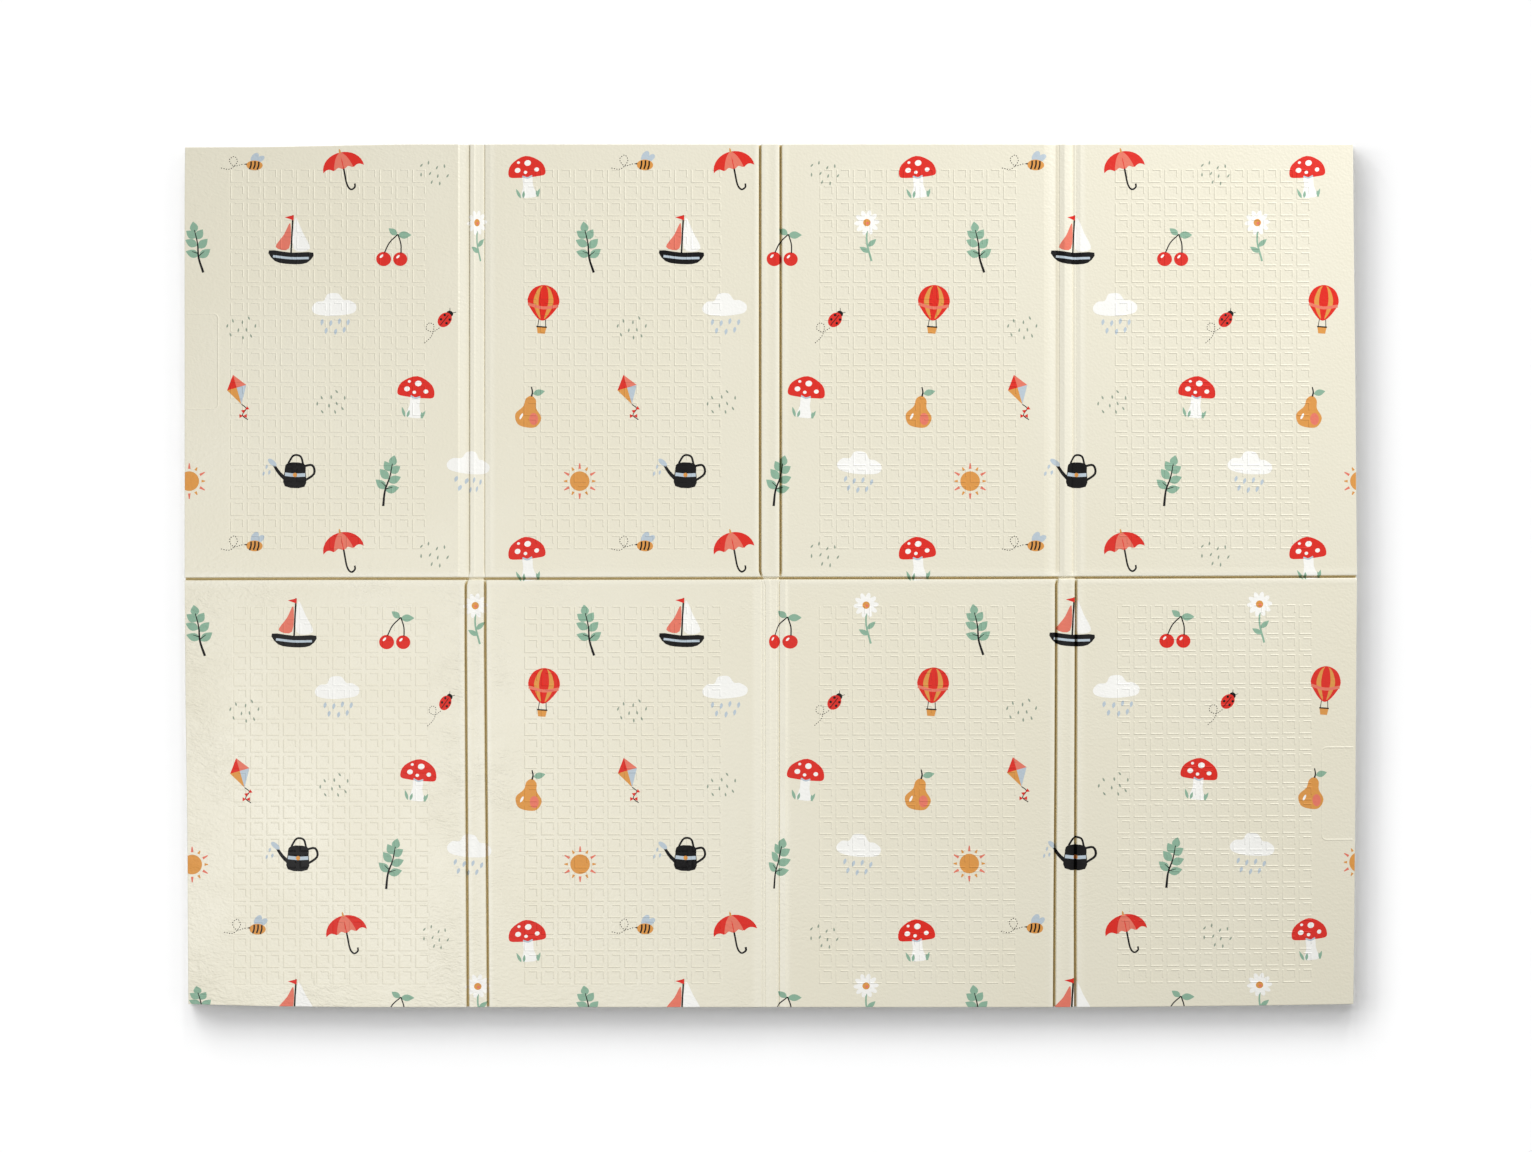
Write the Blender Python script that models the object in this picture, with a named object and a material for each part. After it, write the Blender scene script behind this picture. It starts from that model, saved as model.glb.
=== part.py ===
"""Folding foam play mat, laid open: one pressed slab of eight panels, parted by pressed fold lines.

Metres, +Z up. The origin is the middle of the underside. X runs along the four columns of panels and
Y along the two rows. The slab is worked out on a grid of sheet coordinates (u, v), which are its plan
before the uneven trimming of its edges.
"""

import bmesh
import bpy
import numpy as np

# Driving sizes
LENGTH = 1.970
WIDTH = 1.450
THICKNESS = 0.010

# Pressed fold lines. A column fold has two lines with a narrow strip between them. In one row it is a
# valley, open on the top, and in the other a ridge, open on the underside and rolled on the top.
# Columns: name, row where it is a valley, its two lines there, its two lines in the other row.
COLUMN_FOLDS = (
    ("left", "near", (-0.5115, -0.4780), (-0.5060, -0.4815)),
    ("middle", "far", (-0.0180, 0.0165), (-0.0110, 0.0140)),
    ("right", "near", (0.4800, 0.5125), (0.4845, 0.5135)),
)
FOLD_REACH = 0.045
ROW_FOLD_V = -0.0015

# Columns: distance from a fold line, share of the groove's depth.
GROOVE_PROFILE = (
    (0.0060, 0.0),
    (0.0036, 0.12),
    (0.0018, 1.0),
)
COLUMN_GROOVE_DEPTH = 0.0074
ROW_GROOVE_DEPTH = 0.0066
UNDERSIDE_GROOVE_DEPTH = 0.0064

# Rolled ridge: height over the panel, at distances from the middle of the strip in shares of half the
# distance between its two lines. Columns: share, height.
RIDGE_PROFILE = (
    (-2.45, 0.0),
    (-2.10, 0.0005),
    (-1.55, 0.0004),
    (-1.00, -0.0012),
    (-0.62, -0.0001),
    (-0.10, 0.0006),
    (0.50, 0.0004),
    (1.00, -0.0014),
    (1.45, -0.0004),
    (2.20, 0.0),
)

# Where the folds cross, column grooves run out in the row fold and the row fold is pinched shut.
# Columns: distance from the row fold, share of the column groove's depth.
CROSSING_END = (
    (-0.0036, 0.0),
    (0.0018, 0.25),
    (0.0050, 0.7),
    (0.0110, 1.0),
)
PINCH_LEFT = 0.15
PINCH_REACH = (0.010, 0.020)
ROW_CHANGE = 0.011

# Grid stations of lesser features closer than this to those of a main one are left out.
LEAST_STEP = 0.0006

# Tabs: plain patches at the rim, each drawn by a raised line round three sides.
# Columns: side of the mat, inner end from that rim, lower edge, upper edge.
TABS = (
    ("left", 0.0565, 0.2800, 0.4400),
    ("right", 0.0570, -0.4430, -0.2880),
)
TAB_CORNER = 0.008
LINE_WIDTH = 0.0040
LINE_HEIGHT = 0.0006

# Rounded rim. Columns: distance from the edge, drop of the top, lift of the underside.
RIM_PROFILE = (
    (0.0, 0.0026, 0.0018),
    (0.0009, 0.0008, 0.0005),
    (0.0028, 0.0, 0.0),
)

# Uneven trimming: how far each edge lies inside the full size. Columns: place along the edge, inset.
LEFT_TRIM = (
    (-0.725, 0.0062),
    (-0.420, 0.0045),
    (-0.210, 0.0015),
    (0.000, 0.0),
    (0.640, 0.0),
    (0.725, 0.0008),
)
RIGHT_TRIM = (
    (-0.725, 0.0060),
    (-0.480, 0.0034),
    (0.000, 0.0),
    (0.280, 0.0032),
    (0.560, 0.0074),
    (0.725, 0.0094),
)
NEAR_TRIM = (
    (-0.985, 0.0052),
    (-0.860, 0.0017),
    (-0.700, 0.0),
    (0.560, 0.0),
    (0.820, 0.0028),
    (0.985, 0.0052),
)
FAR_TRIM = (
    (-0.985, 0.0050),
    (-0.850, 0.0046),
    (-0.740, 0.0024),
    (-0.620, 0.0),
    (0.985, 0.0),
)

FILM_COLOUR = (0.855, 0.815, 0.665, 1.0)
FILM_ROUGHNESS = 0.42


def column(table, index):
    """One column of a table, as an array."""
    return np.array([row[index] for row in table], float)


def along(where, table):
    """A table's value at each place, straight between its rows."""
    return np.interp(where, column(table, 0), column(table, 1))


def fold_half(lines):
    """The middle of a fold's two lines, and half the distance between them."""
    return (lines[0] + lines[1]) / 2, (lines[1] - lines[0]) / 2


def groove_offsets():
    """Distances from a fold line where its groove bends, on both sides."""
    reach = column(GROOVE_PROFILE, 0)
    return np.concatenate([-reach, reach[::-1]])


def groove(distance):
    """Share of its depth that a groove has at a distance from its line."""
    reach = column(GROOVE_PROFILE, 0)[::-1]
    share = column(GROOVE_PROFILE, 1)[::-1]
    return np.interp(np.abs(distance), reach, share)


def tab_lines():
    """The places of each tab's raised line: along u, then its two along v."""
    places = []
    for side, reach, low, high in TABS:
        end = -LENGTH / 2 + reach if side == "left" else LENGTH / 2 - reach
        places.append((end, (low, high)))
    return places


def line_stations(place, inward):
    """Stations over a raised line and inwards from it, past the tab's rounded corner."""
    step = LINE_WIDTH / 2
    return place + inward * np.arange(-step, TAB_CORNER + 1.5 * step, step)


def rim_stations(half):
    """Places where the rim's rounding bends, at both ends of a side of the mat."""
    reach = column(RIM_PROFILE, 0)
    return np.concatenate([-half + reach, half - reach])


def with_extras(stations, extras):
    """All stations in order, with the extras that have room between them."""
    stations = np.concatenate(stations)
    extras = np.concatenate(extras)
    gap = np.abs(extras[:, None] - stations[None, :]).min(axis=1)
    return np.sort(np.concatenate([stations, extras[gap > LEAST_STEP]]))


def grid_u():
    """Sheet coordinates across the columns: the rim, every fold's bends and the tabs' lines."""
    stations = [rim_stations(LENGTH / 2)]
    extras = [column(trim, 0)[1:-1] for trim in (NEAR_TRIM, FAR_TRIM)]
    for _, _, lines, _ in COLUMN_FOLDS:
        middle, half = fold_half(lines)
        for line in lines:
            stations.append(line + groove_offsets())
        extras.append(middle + column(RIDGE_PROFILE, 0) * half)
    for end, _ in tab_lines():
        stations.append(line_stations(end, -np.sign(end)))
    return with_extras(stations, extras)


def grid_v():
    """Sheet coordinates across the rows: the rim, the row fold, its crossings, the tabs and the trim."""
    ends = column(CROSSING_END, 0)
    stations = [rim_stations(WIDTH / 2), ROW_FOLD_V + groove_offsets()]
    extras = [ROW_FOLD_V + ends, ROW_FOLD_V - ends]
    extras += [column(trim, 0)[1:-1] for trim in (LEFT_TRIM, RIGHT_TRIM)]
    for _, (low, high) in tab_lines():
        stations.append(line_stations(low, 1.0))
        stations.append(line_stations(high, -1.0))
    return with_extras(stations, extras)


def row_share(v):
    """How far a place belongs to the far row, from 0 to 1, changing over where the folds cross."""
    return np.clip((v - ROW_FOLD_V) / (2 * ROW_CHANGE) + 0.5, 0.0, 1.0)


def crossing_fade(v, row):
    """Share of its depth that a column groove of this row keeps near the row fold."""
    distance = v - ROW_FOLD_V if row == "far" else ROW_FOLD_V - v
    return along(distance, CROSSING_END)


def fold_depths(u, v):
    """The folds' share of the top's height, and the underside's lift."""
    top = np.zeros_like(u)
    under = np.zeros_like(u)
    for _, valley_row, lines, _ in COLUMN_FOLDS:
        ridge_row = "near" if valley_row == "far" else "far"
        middle, half = fold_half(lines)
        grooves = sum(groove(u - line) for line in lines)
        top -= COLUMN_GROOVE_DEPTH * grooves * crossing_fade(v, valley_row)
        under += UNDERSIDE_GROOVE_DEPTH * grooves * crossing_fade(v, ridge_row)
        top += along((u - middle) / half, RIDGE_PROFILE) * crossing_fade(v, ridge_row)
    return top, under


def row_fold(u, v):
    """Depth of the row fold, pinched shut where a column fold crosses it."""
    open_share = np.ones_like(u)
    for _, _, lines, _ in COLUMN_FOLDS:
        middle, half = fold_half(lines)
        outside = np.abs(u - middle) - half
        open_share = np.minimum(open_share, np.interp(outside, PINCH_REACH, (PINCH_LEFT, 1.0)))
    return ROW_GROOVE_DEPTH * groove(v - ROW_FOLD_V) * open_share


def tab_height(u, v):
    """Height of the raised lines round the tabs: a small roof along a rectangle with round corners."""
    height = np.zeros_like(u)
    for end, (low, high) in tab_lines():
        past_end = (end - u) * np.sign(end) + TAB_CORNER
        past_side = np.abs(v - (low + high) / 2) - (high - low) / 2 + TAB_CORNER
        round_part = np.hypot(np.maximum(past_end, 0), np.maximum(past_side, 0))
        distance = round_part + np.minimum(np.maximum(past_end, past_side), 0) - TAB_CORNER
        height += LINE_HEIGHT * np.clip(1 - np.abs(distance) / (LINE_WIDTH / 2), 0, 1)
    return height


def rim(u, v, index):
    """The rounding of a full-thickness rim: its drop of the top (column 1) or lift of the underside (2)."""
    inside = np.minimum(LENGTH / 2 - np.abs(u), WIDTH / 2 - np.abs(v))
    return np.interp(inside, column(RIM_PROFILE, 0), column(RIM_PROFILE, index))


def plan(u, v):
    """Plan of the mat: fold lines drawn together in a ridge, and edges trimmed unevenly."""
    x = u.copy()
    far = row_share(v)
    for _, valley_row, lines, other in COLUMN_FOLDS:
        middle, half = fold_half(lines)
        here = (middle - FOLD_REACH, *lines, middle + FOLD_REACH)
        there = (middle - FOLD_REACH, *other, middle + FOLD_REACH)
        ridge = far if valley_row == "near" else 1 - far
        inside = np.abs(u - middle) < FOLD_REACH
        x += np.where(inside, (np.interp(u, here, there) - u) * ridge, 0.0)
    outer = COLUMN_FOLDS[0][2][0], COLUMN_FOLDS[-1][2][1]
    x += along(v, LEFT_TRIM) * np.interp(u, (-LENGTH / 2, outer[0]), (1, 0))
    x -= along(v, RIGHT_TRIM) * np.interp(u, (outer[1], LENGTH / 2), (0, 1))
    y = v + along(u, NEAR_TRIM) * np.interp(v, (-WIDTH / 2, ROW_FOLD_V), (1, 0))
    y -= along(u, FAR_TRIM) * np.interp(v, (ROW_FOLD_V, WIDTH / 2), (0, 1))
    return x, y


def surfaces():
    """The top and the underside, as arrays of points on the same grid."""
    v, u = np.meshgrid(grid_v(), grid_u(), indexing="ij")
    x, y = plan(u, v)
    fold_top, under = fold_depths(u, v)
    top = THICKNESS + fold_top - row_fold(u, v) + tab_height(u, v)
    share = (top - under) / THICKNESS
    top = top - rim(u, v, 1) * share
    under = under + rim(u, v, 2) * share
    return np.stack([x, y, top], axis=-1), np.stack([x, y, under], axis=-1)


def slab_mesh(name):
    """The mat as one closed mesh: the top as a grid of faces, extruded down to the underside."""
    top, under = surfaces()
    rows, columns = top.shape[:2]
    work = bmesh.new()
    place_of = work.verts.layers.int.new("place")
    bmesh.ops.create_grid(work, x_segments=columns - 1, y_segments=rows - 1, size=1.0)
    for index, (vert, place) in enumerate(zip(work.verts, top.reshape(-1, 3))):
        vert[place_of] = index
        vert.co = place
    lowered = bmesh.ops.extrude_face_region(work, geom=work.faces[:])["geom"]
    low_places = under.reshape(-1, 3)
    for item in lowered:
        if isinstance(item, bmesh.types.BMVert):
            item.co = low_places[item[place_of]]
    bmesh.ops.recalc_face_normals(work, faces=work.faces[:])
    mesh = bpy.data.meshes.new(name)
    work.to_mesh(mesh)
    work.free()
    return mesh


def film_material():
    """The mat's film: cream with a soft gloss."""
    material = bpy.data.materials.new("cream_film")
    material.use_nodes = True
    shader = material.node_tree.nodes["Principled BSDF"]
    shader.inputs["Base Color"].default_value = FILM_COLOUR
    shader.inputs["Roughness"].default_value = FILM_ROUGHNESS
    shader.inputs["Metallic"].default_value = 0.0
    material.diffuse_color = FILM_COLOUR
    return material


def main():
    """Clears the scene and builds the mat."""
    for old in list(bpy.data.objects):
        bpy.data.objects.remove(old, do_unlink=True)
    mat = bpy.data.objects.new("play_mat", slab_mesh("play_mat"))
    mat.data.materials.append(film_material())
    bpy.context.scene.collection.objects.link(mat)


main()
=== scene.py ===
"""Folding foam play mat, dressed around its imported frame: the pressed film surface, its print and the studio.

The mat is worked out in sheet coordinates (u, v), in metres. They are its plan before the ridge folds are
drawn together and the edges are trimmed. U runs along the four columns of panels, v along the two rows.
Motifs of the print are drawn in millimetres round their own middle.
"""

import logging
import math
from collections.abc import Callable
from dataclasses import dataclass
from enum import Enum
from functools import partial

import bpy
import numpy as np
from mathutils.geometry import delaunay_2d_cdt
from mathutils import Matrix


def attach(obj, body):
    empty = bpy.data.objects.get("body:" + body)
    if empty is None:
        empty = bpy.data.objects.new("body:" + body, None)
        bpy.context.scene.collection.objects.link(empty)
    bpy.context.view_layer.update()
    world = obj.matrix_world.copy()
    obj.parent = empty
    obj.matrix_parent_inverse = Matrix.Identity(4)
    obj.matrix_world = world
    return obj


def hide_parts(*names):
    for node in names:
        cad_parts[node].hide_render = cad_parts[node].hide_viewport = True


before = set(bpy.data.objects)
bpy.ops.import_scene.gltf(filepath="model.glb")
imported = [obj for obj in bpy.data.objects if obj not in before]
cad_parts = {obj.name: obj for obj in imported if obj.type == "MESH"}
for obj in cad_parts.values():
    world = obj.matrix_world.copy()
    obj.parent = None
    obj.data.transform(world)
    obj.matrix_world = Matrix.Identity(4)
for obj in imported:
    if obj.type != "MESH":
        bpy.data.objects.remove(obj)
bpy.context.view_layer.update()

Array = np.ndarray
Point = tuple[float, float]
Table = tuple[tuple[float, ...], ...]
MM = 0.001
# How far into a face its corners' directions are read, and where the top counts as clear of the rim.
CREASE_INSET = 0.02
RIM_SHARE = 0.9
LOG = logging.getLogger("play_mat")


def column(table: Table, index: int) -> Array:
    """One column of a table."""
    return np.array([row[index] for row in table], float)


def along(where: Array, table: Table) -> Array:
    """A table's value at each place, straight between its rows."""
    return np.interp(where, column(table, 0), column(table, 1))


def soft_step(value: Array, low: float, high: float) -> Array:
    """S-curve from 0 at low to 1 at high: 3t^2 - 2t^3 of the share t of the way."""
    share = np.clip((value - low) / (high - low), 0.0, 1.0)
    return share * share * (3.0 - 2.0 * share)


class Row(Enum):
    """The two rows of panels."""

    NEAR = "near"
    FAR = "far"


@dataclass(frozen=True)
class Sheet:
    """The mat's full size, and how its edges are rounded and trimmed."""

    length: float = 1.970
    width: float = 1.450
    thickness: float = 0.010
    rim_reach: float = 0.0014
    rim_drop: float = 0.0010
    rim_lift: float = 0.0010
    rim_steps: tuple[float, ...] = (0.0, 0.0002, 0.0006, 0.0014)
    left_trim: Table = ((-0.725, 0.0062), (-0.420, 0.0045), (-0.210, 0.0015), (0.0, 0.0), (0.640, 0.0),
                        (0.725, 0.0008))
    right_trim: Table = ((-0.725, 0.0060), (-0.480, 0.0034), (0.0, 0.0), (0.280, 0.0022),
                         (0.560, 0.0052), (0.725, 0.0066))
    near_trim: Table = ((-0.985, 0.0052), (-0.860, 0.0017), (-0.700, 0.0), (0.560, 0.0),
                        (0.820, 0.0028), (0.985, 0.0052))
    far_trim: Table = ((-0.985, 0.0050), (-0.850, 0.0046), (-0.740, 0.0024), (-0.620, 0.0), (0.985, 0.0))

    @property
    def half(self) -> Array:
        """Half the length and half the width."""
        return np.array([self.length, self.width]) / 2

    def inside(self, u: Array, v: Array) -> Array:
        """Distance to the nearest edge of the sheet."""
        return np.minimum(self.half[0] - np.abs(u), self.half[1] - np.abs(v))

    def rounding(self, inside: Array) -> Array:
        """Share of the rim's rounding: a quarter circle, 1 - sqrt(1 - (1 - inside / reach)^2)."""
        left = np.clip(1.0 - inside / self.rim_reach, 0.0, 1.0)
        return 1.0 - np.sqrt(1.0 - left * left)

    def edge_stations(self, full: float) -> Array:
        """Places where the rim bends, at both ends of a side of this full length."""
        steps = np.array(self.rim_steps)
        return np.concatenate([-full / 2 + steps, full / 2 - steps])


@dataclass(frozen=True)
class Trough:
    """A pressed fold line: a flat-bottomed trough between two soft lips."""

    depth: float
    half_width: float = 0.0021
    lip: float = 0.00042
    lip_at: float = 0.0080
    lip_spread: float = 0.0044
    steps: tuple[float, ...] = (0.0010, 0.0014, 0.0018, 0.0022, 0.0027, 0.0036, 0.0056, 0.0080, 0.0116)
    last_step: float = 0.0180

    def height(self, distance: Array) -> Array:
        """Lip exp(-((d - lip_at) / spread)^2) less depth exp(-(d / half_width)^4), d the distance."""
        away = np.abs(distance)
        lip = self.lip * np.exp(-(((away - self.lip_at) / self.lip_spread) ** 2))
        return lip - self.depth * np.exp(-((away / self.half_width) ** 4))

    def stations(self, line: float, low_side: bool = True, high_side: bool = True) -> Array:
        """Places across the trough where its mesh bends.

        Args:
            line: where the trough's middle lies.
            low_side: whether the side below the line gets its last, outer station.
            high_side: whether the side above the line gets it.

        Returns:
            The line itself and the steps on both sides of it.
        """
        steps = np.array(self.steps)
        low = np.append(-steps, -self.last_step) if low_side else -steps
        high = np.append(steps, self.last_step) if high_side else steps
        return line + np.concatenate([low, [0.0], high])


@dataclass(frozen=True)
class ColumnFold:
    """Two fold lines with a narrow strip between: a valley in one row, a rolled ridge in the other."""

    valley: Row
    lines: Point
    ridge_lines: Point
    # Columns: distance from the middle of the strip in shares of its half width, height.
    ridge_profile: Table
    # For each line, its lean in the valley's row. Columns: place along v, shift along u.
    leans: tuple[Table, Table] = (((0.0, 0.0),), ((0.0, 0.0),))
    reach: float = 0.045

    @property
    def ridge(self) -> Row:
        """The row where the fold is a ridge."""
        return Row.FAR if self.valley is Row.NEAR else Row.NEAR

    @property
    def middle(self) -> float:
        """The middle of the strip."""
        return (self.lines[0] + self.lines[1]) / 2

    @property
    def half(self) -> float:
        """Half the distance between the two lines."""
        return (self.lines[1] - self.lines[0]) / 2

    def stops(self, lines: Point) -> tuple[float, ...]:
        """The ends of the fold's reach with two lines between them."""
        return self.middle - self.reach, *lines, self.middle + self.reach

    def drawn(self, u: Array) -> Array:
        """How far each place moves along u where the ridge draws the two lines together."""
        near = np.abs(u - self.middle) < self.reach
        there = np.interp(u, self.stops(self.lines), self.stops(self.ridge_lines))
        return np.where(near, there - u, 0.0)

    def leant(self, u: Array, v: Array) -> Array:
        """How far each place moves along u where the lines lean.

        Args:
            u: places along the columns.
            v: places along the rows.

        Returns:
            Each line's lean at v, times its share at u: 1 on the line, straight down to 0 at the other
            line and at the fold's reach.
        """
        here = self.stops(self.lines)
        low, high = np.interp(u, here, (0, 1, 0, 0)), np.interp(u, here, (0, 0, 1, 0))
        return along(v, self.leans[0]) * low + along(v, self.leans[1]) * high


@dataclass(frozen=True)
class Tab:
    """A plain patch at the rim, drawn by a raised line round three sides."""

    side: int
    reach: float
    low: float
    high: float
    corner: float = 0.008
    half_width: float = 0.0019
    line_height: float = 0.0007
    run_out: Point = (0.0035, 0.0055)
    corner_steps: int = 7
    rails: int = 5

    def share(self, sheet: Sheet, u: Array, v: Array) -> Array:
        """Share of the raised line's height: 1 on the outline of a rectangle with round corners.

        Args:
            sheet: the mat's size.
            u: places along the columns.
            v: places along the rows.

        Returns:
            1 less the distance to the outline in half widths, down to 0, running out before the rim.
        """
        end = self.side * (sheet.length / 2 - self.reach)
        past_end = (end - u) * self.side + self.corner
        past_side = np.abs(v - (self.low + self.high) / 2) - (self.high - self.low) / 2 + self.corner
        arc = np.hypot(np.maximum(past_end, 0), np.maximum(past_side, 0))
        distance = np.abs(arc + np.minimum(np.maximum(past_end, past_side), 0) - self.corner)
        room = np.interp(sheet.length / 2 - np.abs(u), self.run_out, (0.0, 1.0))
        here = np.sign(u) == self.side
        return np.where(here, np.clip(1.0 - distance / self.half_width, 0.0, 1.0) * room, 0.0)

    def strip(self, sheet: Sheet) -> Array:
        """The raised line as rails along a path: out from the rim, round two corners and back.

        Args:
            sheet: the mat's size.

        Returns:
            Points (stations, rails, 2): each station's corner centre plus its outward direction times
            the corner's radius and the rail's offset.
        """
        edge = self.side * sheet.length / 2
        turn = self.side * (self.reach - self.corner)
        quarter = np.linspace(0.0, math.pi / 2, self.corner_steps)
        centre_u = edge - np.concatenate([
            self.side * np.array(self.run_out), np.full(2 * self.corner_steps, turn),
            self.side * np.array(self.run_out[::-1]),
        ])
        ends = len(self.run_out)
        low_half = np.full(ends + self.corner_steps, self.low + self.corner)
        high_half = np.full(ends + self.corner_steps, self.high - self.corner)
        angles = np.concatenate([np.zeros(ends), quarter, math.pi / 2 + quarter, np.full(ends, math.pi)])
        outward = np.stack([-self.side * np.sin(angles), -np.cos(angles)], axis=-1)
        centres = np.stack([centre_u, np.concatenate([low_half, high_half])], axis=-1)
        rails = self.corner + np.linspace(-1.0, 1.0, self.rails) * self.half_width
        return centres[:, None, :] + outward[:, None, :] * rails[None, :, None]


@dataclass(frozen=True)
class EmbossedCell:
    """One pressed square, in shares of its pitch: two raised lines, each bent once at a right angle."""

    low_corner: Point = (0.141, 0.125)
    low_ends: Point = (0.878, 0.896)
    high_corner: Point = (0.8575, 0.858)
    high_ends: Point = (0.3575, 0.396)
    half_width: float = 0.060
    line_height: float = 0.00086

    def share(self, s: Array, t: Array) -> Array:
        """Share of the raised lines' height, straight from 0 at their outline to 1 at their middle.

        Args:
            s: places across the square.
            t: places up the square.

        Returns:
            For each line, half width less |min(s - corner s, t - corner t)|, not past its ends, in half
            widths; the high line is the low one turned half round. The larger of the two.
        """
        low = np.minimum(s - self.low_corner[0], t - self.low_corner[1])
        low = np.minimum(self.half_width - np.abs(low),
                         np.minimum(self.low_ends[0] - s, self.low_ends[1] - t))
        high = np.minimum(self.high_corner[0] - s, self.high_corner[1] - t)
        high = np.minimum(self.half_width - np.abs(high),
                          np.minimum(s - self.high_ends[0], t - self.high_ends[1]))
        return np.clip(np.maximum(low, high) / self.half_width, 0.0, 1.0)

    def _line(self, corner: Point, ends: Point, sense: float) -> Array:
        """Rings of one raised line: its outline, its shoulder and its middle.

        Args:
            corner: where the line bends.
            ends: how far it reaches across and up.
            sense: 1 where the arms run right and up, -1 where they run left and down.

        Returns:
            15 points: two rings of 6, inset by 0 and by half of the half width, then 3 of the middle.
        """
        rings = []
        for inset in (0.0, self.half_width / 2):
            wide = sense * (self.half_width - inset)
            (cx, cy), ex, ey = corner, ends[0] - sense * inset, ends[1] - sense * inset
            rings += [(cx - wide, cy - wide), (ex, cy - wide), (ex, cy + wide), (cx + wide, cy + wide),
                      (cx + wide, ey), (cx - wide, ey)]
        back = sense * self.half_width
        middle = [(ends[0] - back, corner[1]), corner, (corner[0], ends[1] - back)]
        return np.array(rings + middle)

    def creases(self) -> tuple[Array, Array]:
        """Points and edges where the raised lines bend: rings, the mitres between them and the middles."""
        points = np.concatenate([
            self._line(self.low_corner, self.low_ends, 1.0),
            self._line(self.high_corner, self.high_ends, -1.0),
        ])
        ring = np.arange(6)
        middle = np.array([13, 12, 12, 13, 14, 14])
        edges = np.concatenate([
            np.stack([ring, np.roll(ring, -1)], axis=-1),
            np.stack([ring + 6, np.roll(ring, -1) + 6], axis=-1),
            np.stack([ring, ring + 6], axis=-1),
            np.stack([ring + 6, middle], axis=-1),
            np.array([(12, 13), (13, 14)]),
        ])
        return points, np.concatenate([edges, edges + 15])

    def template(self) -> tuple[Array, Array]:
        """The square as triangles.

        Returns:
            Points, the square's four corners first, and triangles of their numbers.
        """
        points, edges = self.creases()
        corners = np.array([(0.0, 0.0), (1.0, 0.0), (1.0, 1.0), (0.0, 1.0)])
        points = np.concatenate([corners, points])
        _, triangles, numbers = triangulate(points, np.concatenate([ring_edges(0, 4), edges + 4]))
        return points, numbers[triangles]


@dataclass(frozen=True)
class Field:
    """A panel's field of embossed squares."""

    u: Point
    v: Point
    columns: int = 12
    rows: int = 23

    @property
    def corner(self) -> Array:
        """The field's lowest corner."""
        return np.array([self.u[0], self.v[0]])

    @property
    def pitch(self) -> Array:
        """Size of one square across and up."""
        return np.array([(self.u[1] - self.u[0]) / self.columns, (self.v[1] - self.v[0]) / self.rows])

    def lines_u(self) -> Array:
        """Borders between the columns of squares."""
        return np.linspace(*self.u, self.columns + 1)

    def lines_v(self) -> Array:
        """Borders between the rows of squares."""
        return np.linspace(*self.v, self.rows + 1)

    def share(self, cell: EmbossedCell, u: Array, v: Array) -> Array:
        """Share of the raised lines' height over the field, 0 outside it."""
        across, up = (u - self.u[0]) / self.pitch[0], (v - self.v[0]) / self.pitch[1]
        here = (across > 0) & (across < self.columns) & (up > 0) & (up < self.rows)
        return np.where(here, cell.share(across % 1.0, up % 1.0), 0.0)


def triangulate(points: Array, edges: Array) -> tuple[Array, Array, Array]:
    """Constrained Delaunay triangles of points and edges.

    Args:
        points: places (n, 2).
        edges: pairs of point numbers that stay edges.

    Returns:
        The points after crossings are added, anticlockwise triangles, and for each point the first given
        point that it was (or -1).
    """
    found = delaunay_2d_cdt(points.tolist(), edges.tolist(), [], 0, 1e-7, True)
    places = np.array([tuple(p) for p in found[0]])
    numbers = np.array([given[0] if given else -1 for given in found[3]])
    return places, np.array(found[2]), numbers


def ring_edges(start: int, count: int) -> Array:
    """Edges of a closed outline of points numbered from start."""
    ring = np.arange(count)
    return np.stack([ring, np.roll(ring, -1)], axis=-1) + start


def within(places: Array, outline: Array) -> Array:
    """Whether places lie inside a closed outline.

    Args:
        places: places (n, 2).
        outline: the outline's points.

    Returns:
        True where a line to the right crosses the outline an odd number of times.
    """
    x, y = places[:, 0, None], places[:, 1, None]
    (x0, y0), (x1, y1) = outline.T, np.roll(outline, -1, axis=0).T
    rise = np.where(y1 == y0, 1.0, y1 - y0)
    crossed = ((y0 > y) != (y1 > y)) & (x < x0 + (y - y0) * (x1 - x0) / rise)
    return np.count_nonzero(crossed, axis=1) % 2 == 1


def quads(index: Array) -> Array:
    """Faces of a grid of point numbers, anticlockwise where columns run right and rows run up."""
    corners = index[:-1, :-1], index[:-1, 1:], index[1:, 1:], index[1:, :-1]
    return np.stack(corners, axis=-1).reshape(-1, 4)


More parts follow.
